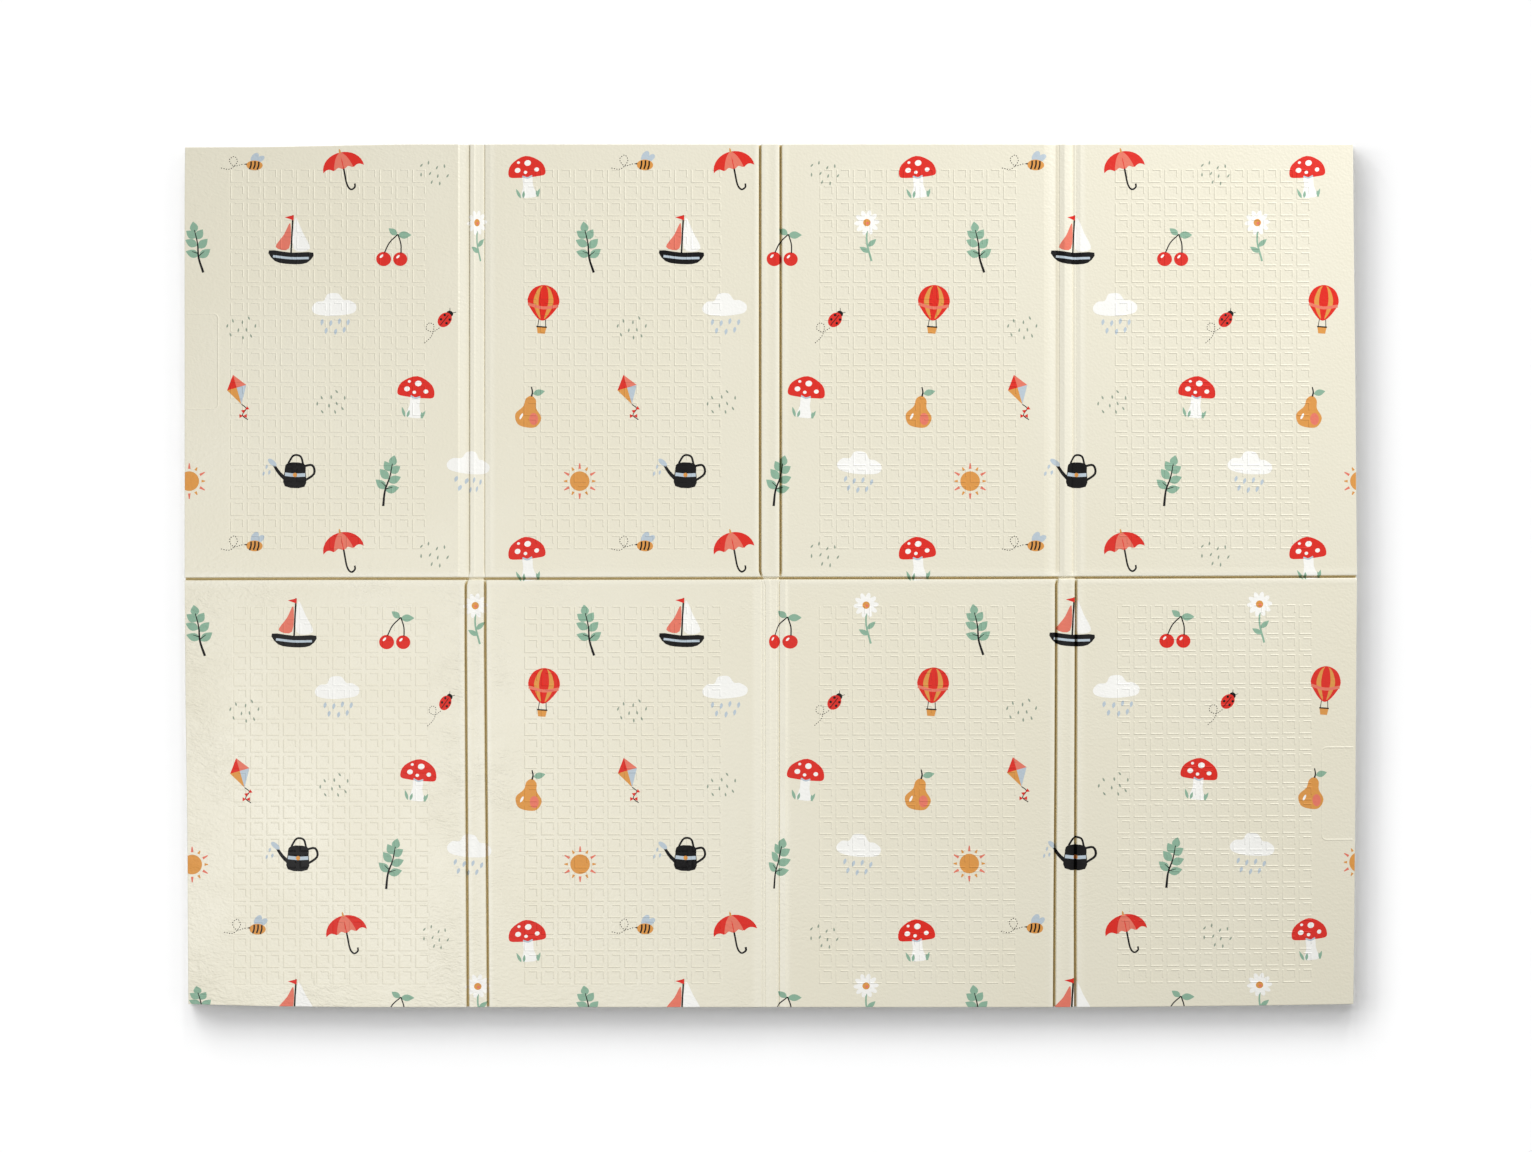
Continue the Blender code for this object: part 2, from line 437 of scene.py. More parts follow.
class Relief:
    """The pressed shape of the whole mat, as heights and plan places over the sheet."""

    sheet = Sheet()
    cell = EmbossedCell()
    row_fold_v = -0.0013
    row_trough = Trough(depth=0.0066, lip=0.00030)
    column_trough = Trough(depth=0.0074)
    under_trough = Trough(depth=0.0050, lip=0.0)
    folds = (
        ColumnFold(Row.NEAR, (-0.5115, -0.4780), (-0.5060, -0.4815),
                   ((-2.60, 0.0), (-1.97, 0.0002), (-1.83, -0.0009), (-1.22, -0.0025), (-1.06, -0.0028),
                    (-1.00, -0.0035), (-0.90, -0.0003), (-0.36, 0.0004), (-0.22, -0.0005), (0.45, -0.0015),
                    (0.62, -0.0015), (0.90, -0.0020), (1.00, -0.0033), (1.10, -0.0011), (1.55, 0.0),
                    (2.60, 0.0)),
                   (((-0.725, 0.0024), (-0.511, 0.0010), (-0.310, -0.0003), (-0.108, -0.0015)),
                    ((-0.725, 0.0028), (-0.511, 0.0012), (-0.310, -0.0008), (-0.108, -0.0023)))),
        ColumnFold(Row.FAR, (-0.0180, 0.0165), (-0.0110, 0.0140),
                   ((-2.60, 0.0), (-1.85, 0.0), (-1.62, -0.0002), (-1.21, -0.0002), (-1.155, -0.0012),
                    (-1.09, -0.0004), (-0.98, -0.0006), (-0.893, -0.0018), (-0.80, -0.0005),
                    (-0.28, 0.0004), (-0.04, -0.0007), (0.45, -0.0011), (0.63, -0.0012), (0.72, -0.0021),
                    (0.83, -0.0013), (0.94, -0.0014), (1.00, -0.0030), (1.08, -0.0010), (1.56, 0.0008),
                    (1.76, -0.0004), (2.10, 0.0), (2.60, 0.0))),
        ColumnFold(Row.NEAR, (0.4800, 0.5125), (0.4845, 0.5135),
                   ((-2.60, 0.0), (-2.35, 0.0), (-1.33, -0.0022), (-1.24, -0.0031), (-1.06, -0.0026),
                    (-1.00, -0.0030), (-0.93, -0.0021), (-0.38, 0.0006), (-0.28, 0.0005), (0.50, -0.0013),
                    (0.60, -0.0028), (0.93, -0.0018), (1.00, -0.0022), (1.06, -0.0015), (1.44, 0.0),
                    (2.60, 0.0)),
                   (((-0.725, -0.0039), (-0.545, -0.0028), (-0.310, -0.0010), (-0.108, -0.0002)),
                    ((-0.725, -0.0004), (-0.545, -0.0008), (-0.310, 0.0), (-0.108, 0.0006)))),
    )
    tabs = (Tab(-1, 0.0565, 0.2800, 0.4400), Tab(1, 0.0615, -0.4430, -0.2880))
    field_columns = ((-0.9104, -0.5772), (-0.4177, -0.0807), (0.0794, 0.4161), (0.5756, 0.9084))
    field_rows = ((-0.6850, -0.0448), (0.0426, 0.6858))
    ridge_station_gap = 0.0004
    # Painted highlight: its reach and fade over the rolled ridges, its shares there and beside the troughs, and
    # the distances beside a trough over which it fades.
    ridge_reach = 2.0
    ridge_fade = 0.3
    ridge_sheen_share = 0.45
    trough_sheen_share = 0.6
    trough_sheen_range = (0.003, 0.015)
    plain_range = (-0.004, 0.004)
    # Depths of a trough over which its painted shade comes in.
    fold_shade_depths = (0.0016, 0.0064)
    crossing_end = (-0.0040, 0.0110)
    pinch_left = 0.55
    pinch_reach = (-0.003, 0.005)
    row_change = 0.011
    # Drift of the near row's fields against the far row's. Columns: place along u, shift along u.
    near_drift: Table = ((-0.985, 0.0), (-0.9104, 0.0052), (-0.5772, 0.0049), (-0.5400, 0.0),
                         (-0.4500, 0.0), (-0.4177, 0.0010), (-0.0807, 0.0), (-0.0600, 0.0),
                         (0.0600, 0.0), (0.0794, -0.0011), (0.4161, -0.0016), (0.4400, 0.0),
                         (0.5450, 0.0), (0.5756, 0.0037), (0.9084, 0.0038), (0.985, 0.0))
    # Height of the near row's squares against the far row's. Columns: place along u, share.
    near_press: Table = ((-0.985, 0.62), (-0.560, 0.62), (-0.440, 1.0), (0.985, 1.0))
    # Slant of the row fold and the near row. Columns: place along u, shift along v.
    row_slant: Table = ((-0.985, -0.0042), (-0.745, -0.0036), (-0.350, -0.0036), (0.0, -0.0029),
                        (0.350, -0.0025), (0.750, -0.0013), (0.985, -0.0002))
    # Slow waves of the top. Columns: turns along u, turns along v, start, all in radians.
    sway_waves: Table = ((14.0, 5.0, 0.6), (-6.5, 9.0, 2.1))
    sway_height = 0.00008
    slope_step = 0.00001

    def __init__(self) -> None:
        """Lists the fields and the stations, and samples the large forms on them."""
        self.fields = [Field(u, v) for v in self.field_rows for u in self.field_columns]
        lines_u = [self.sheet.edge_stations(self.sheet.length)]
        lines_u += [field.lines_u() for field in self.fields[:len(self.field_columns)]]
        for fold in self.folds:
            lines_u.append(self.column_trough.stations(fold.lines[0], high_side=False))
            lines_u.append(self.column_trough.stations(fold.lines[1], low_side=False))
        lines_v = [self.sheet.edge_stations(self.sheet.width), self.row_trough.stations(self.row_fold_v)]
        lines_v += [field.lines_v() for field in self.fields[::len(self.field_columns)]]
        for fold in self.folds:
            bends = fold.middle + fold.half * column(fold.ridge_profile, 0)
            apart = np.abs(bends[:, None] - np.concatenate(lines_u)).min(axis=1)
            lines_u.append(bends[apart > self.ridge_station_gap])
        self.u = np.sort(np.concatenate(lines_u))
        self.v = np.sort(np.concatenate(lines_v))
        v, u = np.meshgrid(self.v, self.u, indexing="ij")
        self.grid = np.stack([*self.plan(u, v), self.large_height(u, v)], axis=-1)

    def row_share(self, row: Row, v: Array) -> Array:
        """How far a place belongs to a row, from 0 to 1, changing over where the folds cross."""
        far = np.clip((v - self.row_fold_v) / (2 * self.row_change) + 0.5, 0.0, 1.0)
        return far if row is Row.FAR else 1.0 - far

    def run_out(self, row: Row, v: Array) -> Array:
        """Share of its depth that a column fold of this row keeps near the row fold."""
        into = v - self.row_fold_v if row is Row.FAR else self.row_fold_v - v
        return soft_step(into, *self.crossing_end)

    def plan(self, u: Array, v: Array) -> tuple[Array, Array]:
        """Where each place of the sheet lies in plan.

        Args:
            u: places along the columns.
            v: places along the rows.

        Returns:
            X: u, drawn together in ridges, drifted in the near row and trimmed in the side margins.
            Y: v, slanted from the row fold to the near field's end and trimmed in the end margins.
        """
        sheet = self.sheet
        left, right = self.field_columns[0][0], self.field_columns[-1][1]
        near, far = self.field_rows[0][0], self.field_rows[-1][1]
        x = u + along(u, self.near_drift) * self.row_share(Row.NEAR, v)
        for fold in self.folds:
            x = x + fold.drawn(u) * self.row_share(fold.ridge, v)
            x = x + fold.leant(u, v) * self.row_share(fold.valley, v)
        x = x + along(v, sheet.left_trim) * np.interp(u, (-sheet.length / 2, left), (1, 0))
        x = x - along(v, sheet.right_trim) * np.interp(u, (right, sheet.length / 2), (0, 1))
        slanted = np.interp(v, (-sheet.width / 2, near, 0.0, self.field_rows[1][0]), (0, 1, 1, 0))
        y = v + along(u, self.row_slant) * slanted
        y = y + along(u, sheet.near_trim) * np.interp(v, (-sheet.width / 2, near), (1, 0))
        y = y - along(u, sheet.far_trim) * np.interp(v, (far, sheet.width / 2), (0, 1))
        return x, y

    def fold_height(self, u: Array, v: Array) -> Array:
        """Height that the folds add to the top: troughs in valleys, rolled ridges, the row's trough.

        Args:
            u: places along the columns.
            v: places along the rows.

        Returns:
            Each column fold's two troughs and its ridge profile, each times its run-out near the row
            fold, plus the row's trough, pinched nearly shut where a column fold crosses it.
        """
        height = np.zeros_like(u)
        pinch = np.ones_like(u)
        for fold in self.folds:
            troughs = sum(self.column_trough.height(u - line) for line in fold.lines)
            ridge = along((u - fold.middle) / fold.half, fold.ridge_profile)
            height += troughs * self.run_out(fold.valley, v) + ridge * self.run_out(fold.ridge, v)
            outside = soft_step(np.abs(u - fold.middle) - fold.half, *self.pinch_reach)
            pinch = np.minimum(pinch, self.pinch_left + (1 - self.pinch_left) * outside)
        return height + self.row_trough.height(v - self.row_fold_v) * pinch

    def under_height(self, u: Array, v: Array) -> Array:
        """Lift of the underside: troughs under the ridges, and the rim's lower rounding."""
        lift = np.zeros_like(u)
        for fold in self.folds:
            for line in fold.lines:
                lift -= self.under_trough.height(u - line) * self.run_out(fold.ridge, v)
        share = (self.sheet.thickness + self.fold_height(u, v) - lift) / self.sheet.thickness
        return lift + self.sheet.rim_lift * self.sheet.rounding(self.sheet.inside(u, v)) * share

    def large_height(self, u: Array, v: Array) -> Array:
        """Height of the top without its raised lines: thickness, sway, folds and the rim's rounding."""
        sheet = self.sheet
        sway = sum(np.sin(a * u + b * v + start) for a, b, start in self.sway_waves)
        top = sheet.thickness + self.sway_height * sway + self.fold_height(u, v)
        rounding = sheet.rim_drop * sheet.rounding(sheet.inside(u, v))
        return top - rounding * top / sheet.thickness

    def line_share(self, u: Array, v: Array) -> tuple[Array, Array]:
        """Shares of the height of the embossed squares' lines and of the tabs' lines."""
        cells = sum(field.share(self.cell, u, v) for field in self.fields)
        tabs = sum(tab.share(self.sheet, u, v) for tab in self.tabs)
        return cells, tabs

    def pressed(self, u: Array, v: Array) -> Array:
        """Height of the squares' lines: the given one, less where the near row is pressed less deep."""
        missing = (1.0 - along(u, self.near_press)) * self.row_share(Row.NEAR, v)
        return self.cell.line_height * (1.0 - missing)

    def place(self, uv: Array) -> Array:
        """Points of the top's surface: plan and large height, straight between the stations, plus lines.

        Args:
            uv: sheet places (n, 2).

        Returns:
            Points (n, 3), on the same flat facets as the mat's own mesh.
        """
        i = np.clip(np.searchsorted(self.u, uv[:, 0]) - 1, 0, len(self.u) - 2)
        j = np.clip(np.searchsorted(self.v, uv[:, 1]) - 1, 0, len(self.v) - 2)
        a = ((uv[:, 0] - self.u[i]) / (self.u[i + 1] - self.u[i]))[:, None]
        b = ((uv[:, 1] - self.v[j]) / (self.v[j + 1] - self.v[j]))[:, None]
        low = self.grid[j, i] * (1 - a) + self.grid[j, i + 1] * a
        high = self.grid[j + 1, i] * (1 - a) + self.grid[j + 1, i + 1] * a
        points = low * (1 - b) + high * b
        cells, tabs = self.line_share(*uv.T)
        points[:, 2] += cells * self.pressed(*uv.T) + tabs * self.tabs[0].line_height
        return points

    def smooth_height(self, u: Array, v: Array) -> Array:
        """Height of the top with rounded lines: each line's share x becomes (1 - cos pi x) / 2."""
        cells, tabs = (0.5 - 0.5 * np.cos(math.pi * share) for share in self.line_share(u, v))
        return self.large_height(u, v) + cells * self.pressed(u, v) + tabs * self.tabs[0].line_height

    def normals(self, uv: Array) -> Array:
        """Directions that the rounded top faces, from the differences of its height across each place."""
        (u, v), step = uv.T, self.slope_step
        across = self.smooth_height(u + step, v) - self.smooth_height(u - step, v)
        up = self.smooth_height(u, v + step) - self.smooth_height(u, v - step)
        facing = np.stack([-across, -up, np.full_like(u, 2 * step)], axis=-1)
        return facing / np.linalg.norm(facing, axis=1, keepdims=True)

    def masks(self, uv: Array) -> dict[str, Array]:
        """Values over the top that the finishes read.

        Args:
            uv: sheet places (n, 2).

        Returns:
            plain: 1 on margins and fold strips, 0 on the embossed fields.
            depth: how far a place lies down in a trough, from 0 to 1; the finishes paint shade there by it.
            painted_sheen: share of the painted highlight beside a trough or over a ridge, from 0 to 1.
        """
        u, v = uv.T
        inside = [np.minimum(np.minimum(u - f.u[0], f.u[1] - u), np.minimum(v - f.v[0], f.v[1] - v))
                  for f in self.fields]
        plain = 1.0 - soft_step(np.max(inside, axis=0), *self.plain_range)
        # Painted shade: the finishes darken and warm the colour by this depth down in the troughs.
        depth = soft_step(-self.fold_height(u, v), *self.fold_shade_depths)
        beside = [np.abs(v - self.row_fold_v)]
        # Painted highlight: a paler colour over the rolled ridges and beside the troughs.
        ridge_sheen = np.zeros_like(u)
        for fold in self.folds:
            away = np.min([np.abs(u - line) for line in fold.lines], axis=0)
            beside.append(np.where(self.run_out(fold.valley, v) > 0.5, away, 1.0))
            rolled = soft_step(self.ridge_reach - np.abs(u - fold.middle) / fold.half, 0.0, self.ridge_fade)
            ridge_sheen = np.maximum(ridge_sheen, self.ridge_sheen_share * rolled * self.run_out(fold.ridge, v))
        near = 1.0 - soft_step(np.min(beside, axis=0), *self.trough_sheen_range)
        painted_sheen = np.maximum(ridge_sheen, self.trough_sheen_share * near)
        return {"plain": plain, "depth": depth, "painted_sheen": painted_sheen * (1.0 - depth)}

    def creases(self, low: Array, high: Array) -> tuple[Array, Array]:
        """Lines where the top's facets meet, over a box of the sheet.

        Args:
            low: the box's lowest corner.
            high: its highest corner.

        Returns:
            Points and edges: stations of folds and rim, the raised lines of squares and of tabs.
        """
        points, edges, count = [], [], 0
        inner_u = np.concatenate([field.lines_u() for field in self.fields])
        inner_v = np.concatenate([field.lines_v() for field in self.fields])
        for axis, stations in enumerate((np.setdiff1d(self.u, inner_u), np.setdiff1d(self.v, inner_v))):
            crossed = stations[(stations > low[axis]) & (stations < high[axis])]
            ends = np.empty((len(crossed), 2, 2))
            ends[:, :, axis] = crossed[:, None]
            ends[:, :, 1 - axis] = (low[1 - axis], high[1 - axis])
            points.append(ends.reshape(-1, 2))
            edges.append(np.arange(2 * len(crossed)).reshape(-1, 2) + count)
            count += 2 * len(crossed)
        cell_points, cell_edges = self.cell.creases()
        for field in self.fields:
            size = (field.columns, field.rows)
            first = np.clip(np.floor((low - field.corner) / field.pitch), 0, size).astype(int)
            last = np.clip(np.ceil((high - field.corner) / field.pitch), 0, size).astype(int)
            columns, rows = np.meshgrid(np.arange(first[0], last[0]), np.arange(first[1], last[1]))
            corners = np.stack([columns.ravel(), rows.ravel()], axis=-1)
            if len(corners):
                here = field.corner + (corners[:, None, :] + cell_points[None]) * field.pitch
                points.append(here.reshape(-1, 2))
                steps = np.arange(len(corners))[:, None, None] * len(cell_points)
                edges.append((cell_edges[None] + steps).reshape(-1, 2) + count)
                count += len(points[-1])
        for tab in self.tabs:
            strip = tab.strip(self.sheet)
            flat = strip.reshape(-1, 2)
            if (flat.max(axis=0) > low).all() and (flat.min(axis=0) < high).all():
                index = np.arange(len(flat)).reshape(strip.shape[:2]) + count
                points.append(flat)
                edges.append(np.stack([index[:-1].ravel(), index[1:].ravel()], axis=-1))
                edges.append(np.stack([index[:, :-1].ravel(), index[:, 1:].ravel()], axis=-1))
                count += len(flat)
        return np.concatenate(points), np.concatenate(edges)


class Nodes:
    """A small hand for wiring shader nodes in one tree."""

    def __init__(self, tree: bpy.types.NodeTree) -> None:
        """Keeps the tree that nodes go into."""
        self.tree = tree

    def add(self, kind: str, inputs: dict | None = None, **settings: object) -> bpy.types.Node:
        """Adds a node.

        Args:
            kind: the node's type.
            inputs: for each input's name or number, a value, or an output to link it to.
            settings: properties of the node.

        Returns:
            The node.
        """
        node = self.tree.nodes.new(kind)
        for name, value in settings.items():
            setattr(node, name, value)
        for name, value in (inputs or {}).items():
            if isinstance(value, bpy.types.NodeSocket):
                self.tree.links.new(value, node.inputs[name])
            else:
                node.inputs[name].default_value = value
        return node

    def math(self, operation: str, first: object, second: object = 0.5) -> bpy.types.NodeSocket:
        """The result of one sum of two values or outputs."""
        return self.add("ShaderNodeMath", {0: first, 1: second}, operation=operation).outputs[0]

    def mix(self, factor: object, first: tuple | bpy.types.NodeSocket, second: tuple) -> bpy.types.NodeSocket:
        """A colour between two."""
        given = {"Factor": factor, "A": first, "B": second}
        return self.add("ShaderNodeMix", given, data_type="RGBA").outputs["Result"]

    def noise(self, where: object, scale: float, detail: float = 2.0,
              roughness: float = 0.5) -> bpy.types.NodeSocket:
        """Noise from 0 to 1 at a place."""
        given = {"Vector": where, "Scale": scale, "Detail": detail, "Roughness": roughness}
        return self.add("ShaderNodeTexNoise", given).outputs["Fac"]

    def value(self, name: str) -> bpy.types.NodeSocket:
        """A named value of the mesh."""
        return self.add("ShaderNodeAttribute", attribute_name=name).outputs["Fac"]

    def ramp(self, value: object, low: float, high: float, start: float, end: float,
             smooth: bool = True) -> bpy.types.NodeSocket:
        """A value carried from low..high to start..end, and held there past either."""
        steps = {"Value": value, "From Min": low, "From Max": high, "To Min": start, "To Max": end}
        shape = "SMOOTHSTEP" if smooth else "LINEAR"
        return self.add("ShaderNodeMapRange", steps, interpolation_type=shape).outputs["Result"]


def new_material(name: str) -> tuple[bpy.types.Material, Nodes, bpy.types.Node]:
    """A new material, a hand for its nodes and its shader."""
    material = bpy.data.materials.new(name)
    material.use_nodes = True
    return material, Nodes(material.node_tree), material.node_tree.nodes["Principled BSDF"]


@dataclass(frozen=True)
class FilmGrain:
    """The film's skin: fine pebble, and wrinkles off the squares, deeper to the left and in the near row."""

    pebble_scale: float = 260.0
    fine_scale: float = 806.0
    fine_share: float = 0.35
    wrinkle_scale: tuple[float, float, float] = (95.0, 230.0, 60.0)
    wrinkle_bend: float = 0.028
    bend_scale: float = 22.0
    wrinkled_end: Point = (-0.95, 0.25)
    wrinkle_share: Point = (2.4, 0.5)
    wrinkled_row: Point = (0.05, -0.05)
    row_wrinkles: Point = (0.4, 1.0)
    patch_scale: float = 7.0
    patch_range: Point = (0.35, 0.65)
    patch_share: Point = (0.35, 1.0)
    field_share: float = 0.12
    tone_scale: float = 3.0
    tone_range: Point = (0.3, 0.7)
    name: str = "film_grain"

    def group(self) -> bpy.types.NodeTree:
        """The node group, built once.

        Returns:
            A group with inputs Pebble and Wrinkle, heights in metres, and outputs Height in metres and
            Tone, a slow change from 0 to 1 over the surface.
        """
        known = bpy.data.node_groups.get(self.name)
        if known:
            return known
        tree = bpy.data.node_groups.new(self.name, "ShaderNodeTree")
        for label in ("Pebble", "Wrinkle"):
            tree.interface.new_socket(label, in_out="INPUT", socket_type="NodeSocketFloat")
        for label in ("Height", "Tone"):
            tree.interface.new_socket(label, in_out="OUTPUT", socket_type="NodeSocketFloat")
        nodes = Nodes(tree)
        given = nodes.add("NodeGroupInput")
        where = nodes.add("ShaderNodeTexCoord").outputs["Object"]
        pebble = nodes.add("ShaderNodeTexVoronoi", {"Vector": where, "Scale": self.pebble_scale},
                           feature="SMOOTH_F1").outputs["Distance"]
        fine = nodes.noise(where, self.fine_scale)
        skin = nodes.math("ADD", pebble, nodes.math("MULTIPLY", fine, self.fine_share))
        bent = nodes.add("ShaderNodeTexNoise", {"Vector": where, "Scale": self.bend_scale}).outputs["Color"]
        bend = (self.wrinkle_bend, self.wrinkle_bend, 0.0)
        moved = nodes.add("ShaderNodeVectorMath", {0: bent, 1: bend}, operation="MULTIPLY")
        shifted = nodes.add("ShaderNodeVectorMath", {0: where, 1: moved.outputs[0]}, operation="ADD")
        scaled = nodes.add("ShaderNodeMapping", {"Vector": shifted.outputs[0], "Scale": self.wrinkle_scale})
        waves = nodes.noise(scaled.outputs[0], 1.0, 3.0, 0.55)
        patches = nodes.noise(where, self.patch_scale, 1.0)
        strength = nodes.math("MULTIPLY", nodes.value("plain"),
                              nodes.ramp(patches, *self.patch_range, *self.patch_share))
        strength = nodes.math("ADD", strength, self.field_share)
        axes = nodes.add("ShaderNodeSeparateXYZ", {"Vector": where}).outputs
        for share in (given.outputs["Wrinkle"],
                      nodes.ramp(axes["X"], *self.wrinkled_end, *self.wrinkle_share),
                      nodes.ramp(axes["Y"], *self.wrinkled_row, *self.row_wrinkles)):
            strength = nodes.math("MULTIPLY", strength, share)
        height = nodes.math("ADD", nodes.math("MULTIPLY", skin, given.outputs["Pebble"]),
                            nodes.math("MULTIPLY", waves, strength))
        slow = nodes.noise(where, self.tone_scale, 4.0, 0.6)
        nodes.add("NodeGroupOutput", {"Height": height, "Tone": nodes.ramp(slow, *self.tone_range, 0.0, 1.0)})
        return tree


@dataclass(frozen=True)
class PressedFinish:
    """Film or ink over the pressed foam: soft gloss, the film's grain, darker and warmer in the folds by
    painted shade, and on the film a painted highlight beside them.
    """

    name: str
    colour: tuple[float, float, float]
    other_tone: tuple[float, float, float]
    # Painted shade: the colour down in the troughs.
    fold_shade_colour: tuple[float, float, float]
    # Painted highlight: the paler colour beside the troughs and over the ridges.
    sheen_colour: tuple[float, float, float]
    roughness: Point
    specular: float = 0.5
    pebble: float = 0.0005
    wrinkle: float = 0.0017
    bump: float = 0.55
    grain: FilmGrain = FilmGrain()

    def material(self) -> bpy.types.Material:
        """The finish as a material.

        Returns:
            A material whose colour goes slowly between two tones, with a painted highlight beside a trough and
            over a ridge, and painted shade towards the fold shade colour down in the trough. Its normal follows
            the film's grain.
        """
        material, nodes, shader = new_material(self.name)
        grain = nodes.add("ShaderNodeGroup", node_tree=self.grain.group())
        grain.inputs["Pebble"].default_value = self.pebble
        grain.inputs["Wrinkle"].default_value = self.wrinkle
        tone = nodes.mix(grain.outputs["Tone"], (*self.colour, 1.0), (*self.other_tone, 1.0))
        # Painted highlight beside the troughs and over the ridges.
        pale = nodes.mix(nodes.value("painted_sheen"), tone, (*self.sheen_colour, 1.0))
        # Painted shade down in the troughs.
        down = nodes.mix(nodes.value("depth"), pale, (*self.fold_shade_colour, 1.0))
        bump = nodes.add("ShaderNodeBump", {"Strength": self.bump, "Distance": 1.0,
                                            "Height": grain.outputs["Height"]})
        rough = nodes.ramp(grain.outputs["Tone"], 0.0, 1.0, *self.roughness, smooth=False)
        shader.inputs["Specular IOR Level"].default_value = self.specular
        for socket, value in (("Base Color", down), ("Roughness", rough), ("Normal", bump.outputs["Normal"])):
            material.node_tree.links.new(value, shader.inputs[socket])
        return material


@dataclass(frozen=True)
class FoamFinish:
    """Cut closed-cell foam at the edges: matt and a little whiter, with fine open cells."""

    name: str = "cut_foam"
    colour: tuple[float, float, float] = (0.86, 0.85, 0.78)
    # Painted shade: darker colour inside the cell hollows.
    hollow_shade_colour: tuple[float, float, float] = (0.74, 0.72, 0.62)
    cells: float = 1100.0
    hollow_range: Point = (0.04, 0.30)
    hollow_depth: float = 0.0004
    bump: float = 0.5
    roughness: float = 0.85

    def material(self) -> bpy.types.Material:
        """The finish as a material: cell walls of one colour, hollows darker by painted shade, with their bump.
        """
        material, nodes, shader = new_material(self.name)
        where = nodes.add("ShaderNodeTexCoord").outputs["Object"]
        wall = nodes.add("ShaderNodeTexVoronoi", {"Vector": where, "Scale": self.cells},
                         feature="DISTANCE_TO_EDGE").outputs["Distance"]
        hollow = nodes.ramp(wall, *self.hollow_range, 0.0, 1.0)
        colour = nodes.mix(hollow, (*self.colour, 1.0), (*self.hollow_shade_colour, 1.0))
        bump = nodes.add("ShaderNodeBump", {"Strength": self.bump, "Distance": self.hollow_depth,
                                            "Height": nodes.math("SUBTRACT", 1.0, hollow)})
        material.node_tree.links.new(colour, shader.inputs["Base Color"])
        material.node_tree.links.new(bump.outputs["Normal"], shader.inputs["Normal"])
        shader.inputs["Roughness"].default_value = self.roughness
        return material


def add_object(name: str, data: bpy.types.ID) -> bpy.types.Object:
    """Puts a mesh, lamp or camera into the scene."""
    made = bpy.data.objects.new(name, data)
    bpy.context.scene.collection.objects.link(made)
    return made


def build_object(name: str, points: Array, faces: list, materials: list[bpy.types.Material],
                 values: dict[str, Array] | None = None) -> bpy.types.Object:
    """Makes a smooth mesh object at the origin.

    Args:
        name: the piece's name.
        points: places (n, 3).
        faces: each face's point numbers.
        materials: its materials, the first for every face.
        values: named values at the points, for the finishes.

    Returns:
        The object, linked into the scene.
    """
    mesh = bpy.data.meshes.new(name)
    mesh.from_pydata(points.tolist(), [], faces)
    for material in materials:
        mesh.materials.append(material)
    mesh.polygons.foreach_set("use_smooth", np.ones(len(mesh.polygons), bool))
    for label, numbers in (values or {}).items():
        layer = mesh.attributes.new(label, "FLOAT", "POINT")
        layer.data.foreach_set("value", numbers.astype(np.float32))
    mesh.update()
    return add_object(name, mesh)


def face_normals(mesh: bpy.types.Mesh) -> Array:
    """Each point's direction from its faces: the sum of face normals times the square of their area.

    Args:
        mesh: the mesh.

    Returns:
        Unit vectors (points, 3), led by the largest faces.
    """
    count = len(mesh.polygons)
    facing = np.empty(count * 3)
    area = np.empty(count)
    corners = np.empty(count, int)
    mesh.polygons.foreach_get("normal", facing)
    mesh.polygons.foreach_get("area", area)
    mesh.polygons.foreach_get("loop_total", corners)
    weighted = facing.reshape(-1, 3) * (area[:, None] / MM ** 2) ** 2
    points = np.empty(len(mesh.loops), int)
    mesh.loops.foreach_get("vertex_index", points)
    total = np.zeros((len(mesh.vertices), 3))
    np.add.at(total, points, np.repeat(weighted, corners, axis=0))
    return total / np.maximum(np.linalg.norm(total, axis=1, keepdims=True), 1e-12)


def set_normals(mesh: bpy.types.Mesh, facing: Array, relief: Relief, uv: Array, smooth: Array) -> None:
    """Sets the direction of every face corner.

    On faces whose points are all smooth it is the rounded relief's, read a little way into the face, so
    that both sides of a crease keep their own. Elsewhere it is the point's.

    Args:
        mesh: the mesh.
        facing: each point's direction.
        relief: the relief.
        uv: sheet places of the mesh's first points, the ones on top.
        smooth: which of those points lie clear of the rim.
    """
    points = np.empty(len(mesh.loops), int)
    mesh.loops.foreach_get("vertex_index", points)
    starts = np.empty(len(mesh.polygons), int)
    mesh.polygons.foreach_get("loop_start", starts)
    corners = facing[points]
    clear = np.zeros(len(mesh.vertices), bool)
    clear[:len(uv)] = smooth
    totals = np.diff(np.append(starts, len(points)))
    whole = np.repeat(np.logical_and.reduceat(clear[points], starts), totals)
    places = np.zeros((len(mesh.vertices), 2))
    places[:len(uv)] = uv
    places = places[points]
    middles = np.repeat(np.add.reduceat(places, starts) / totals[:, None], totals, axis=0)
    corners[whole] = relief.normals((places + CREASE_INSET * (middles - places))[whole])
    mesh.normals_split_custom_set(corners.tolist())


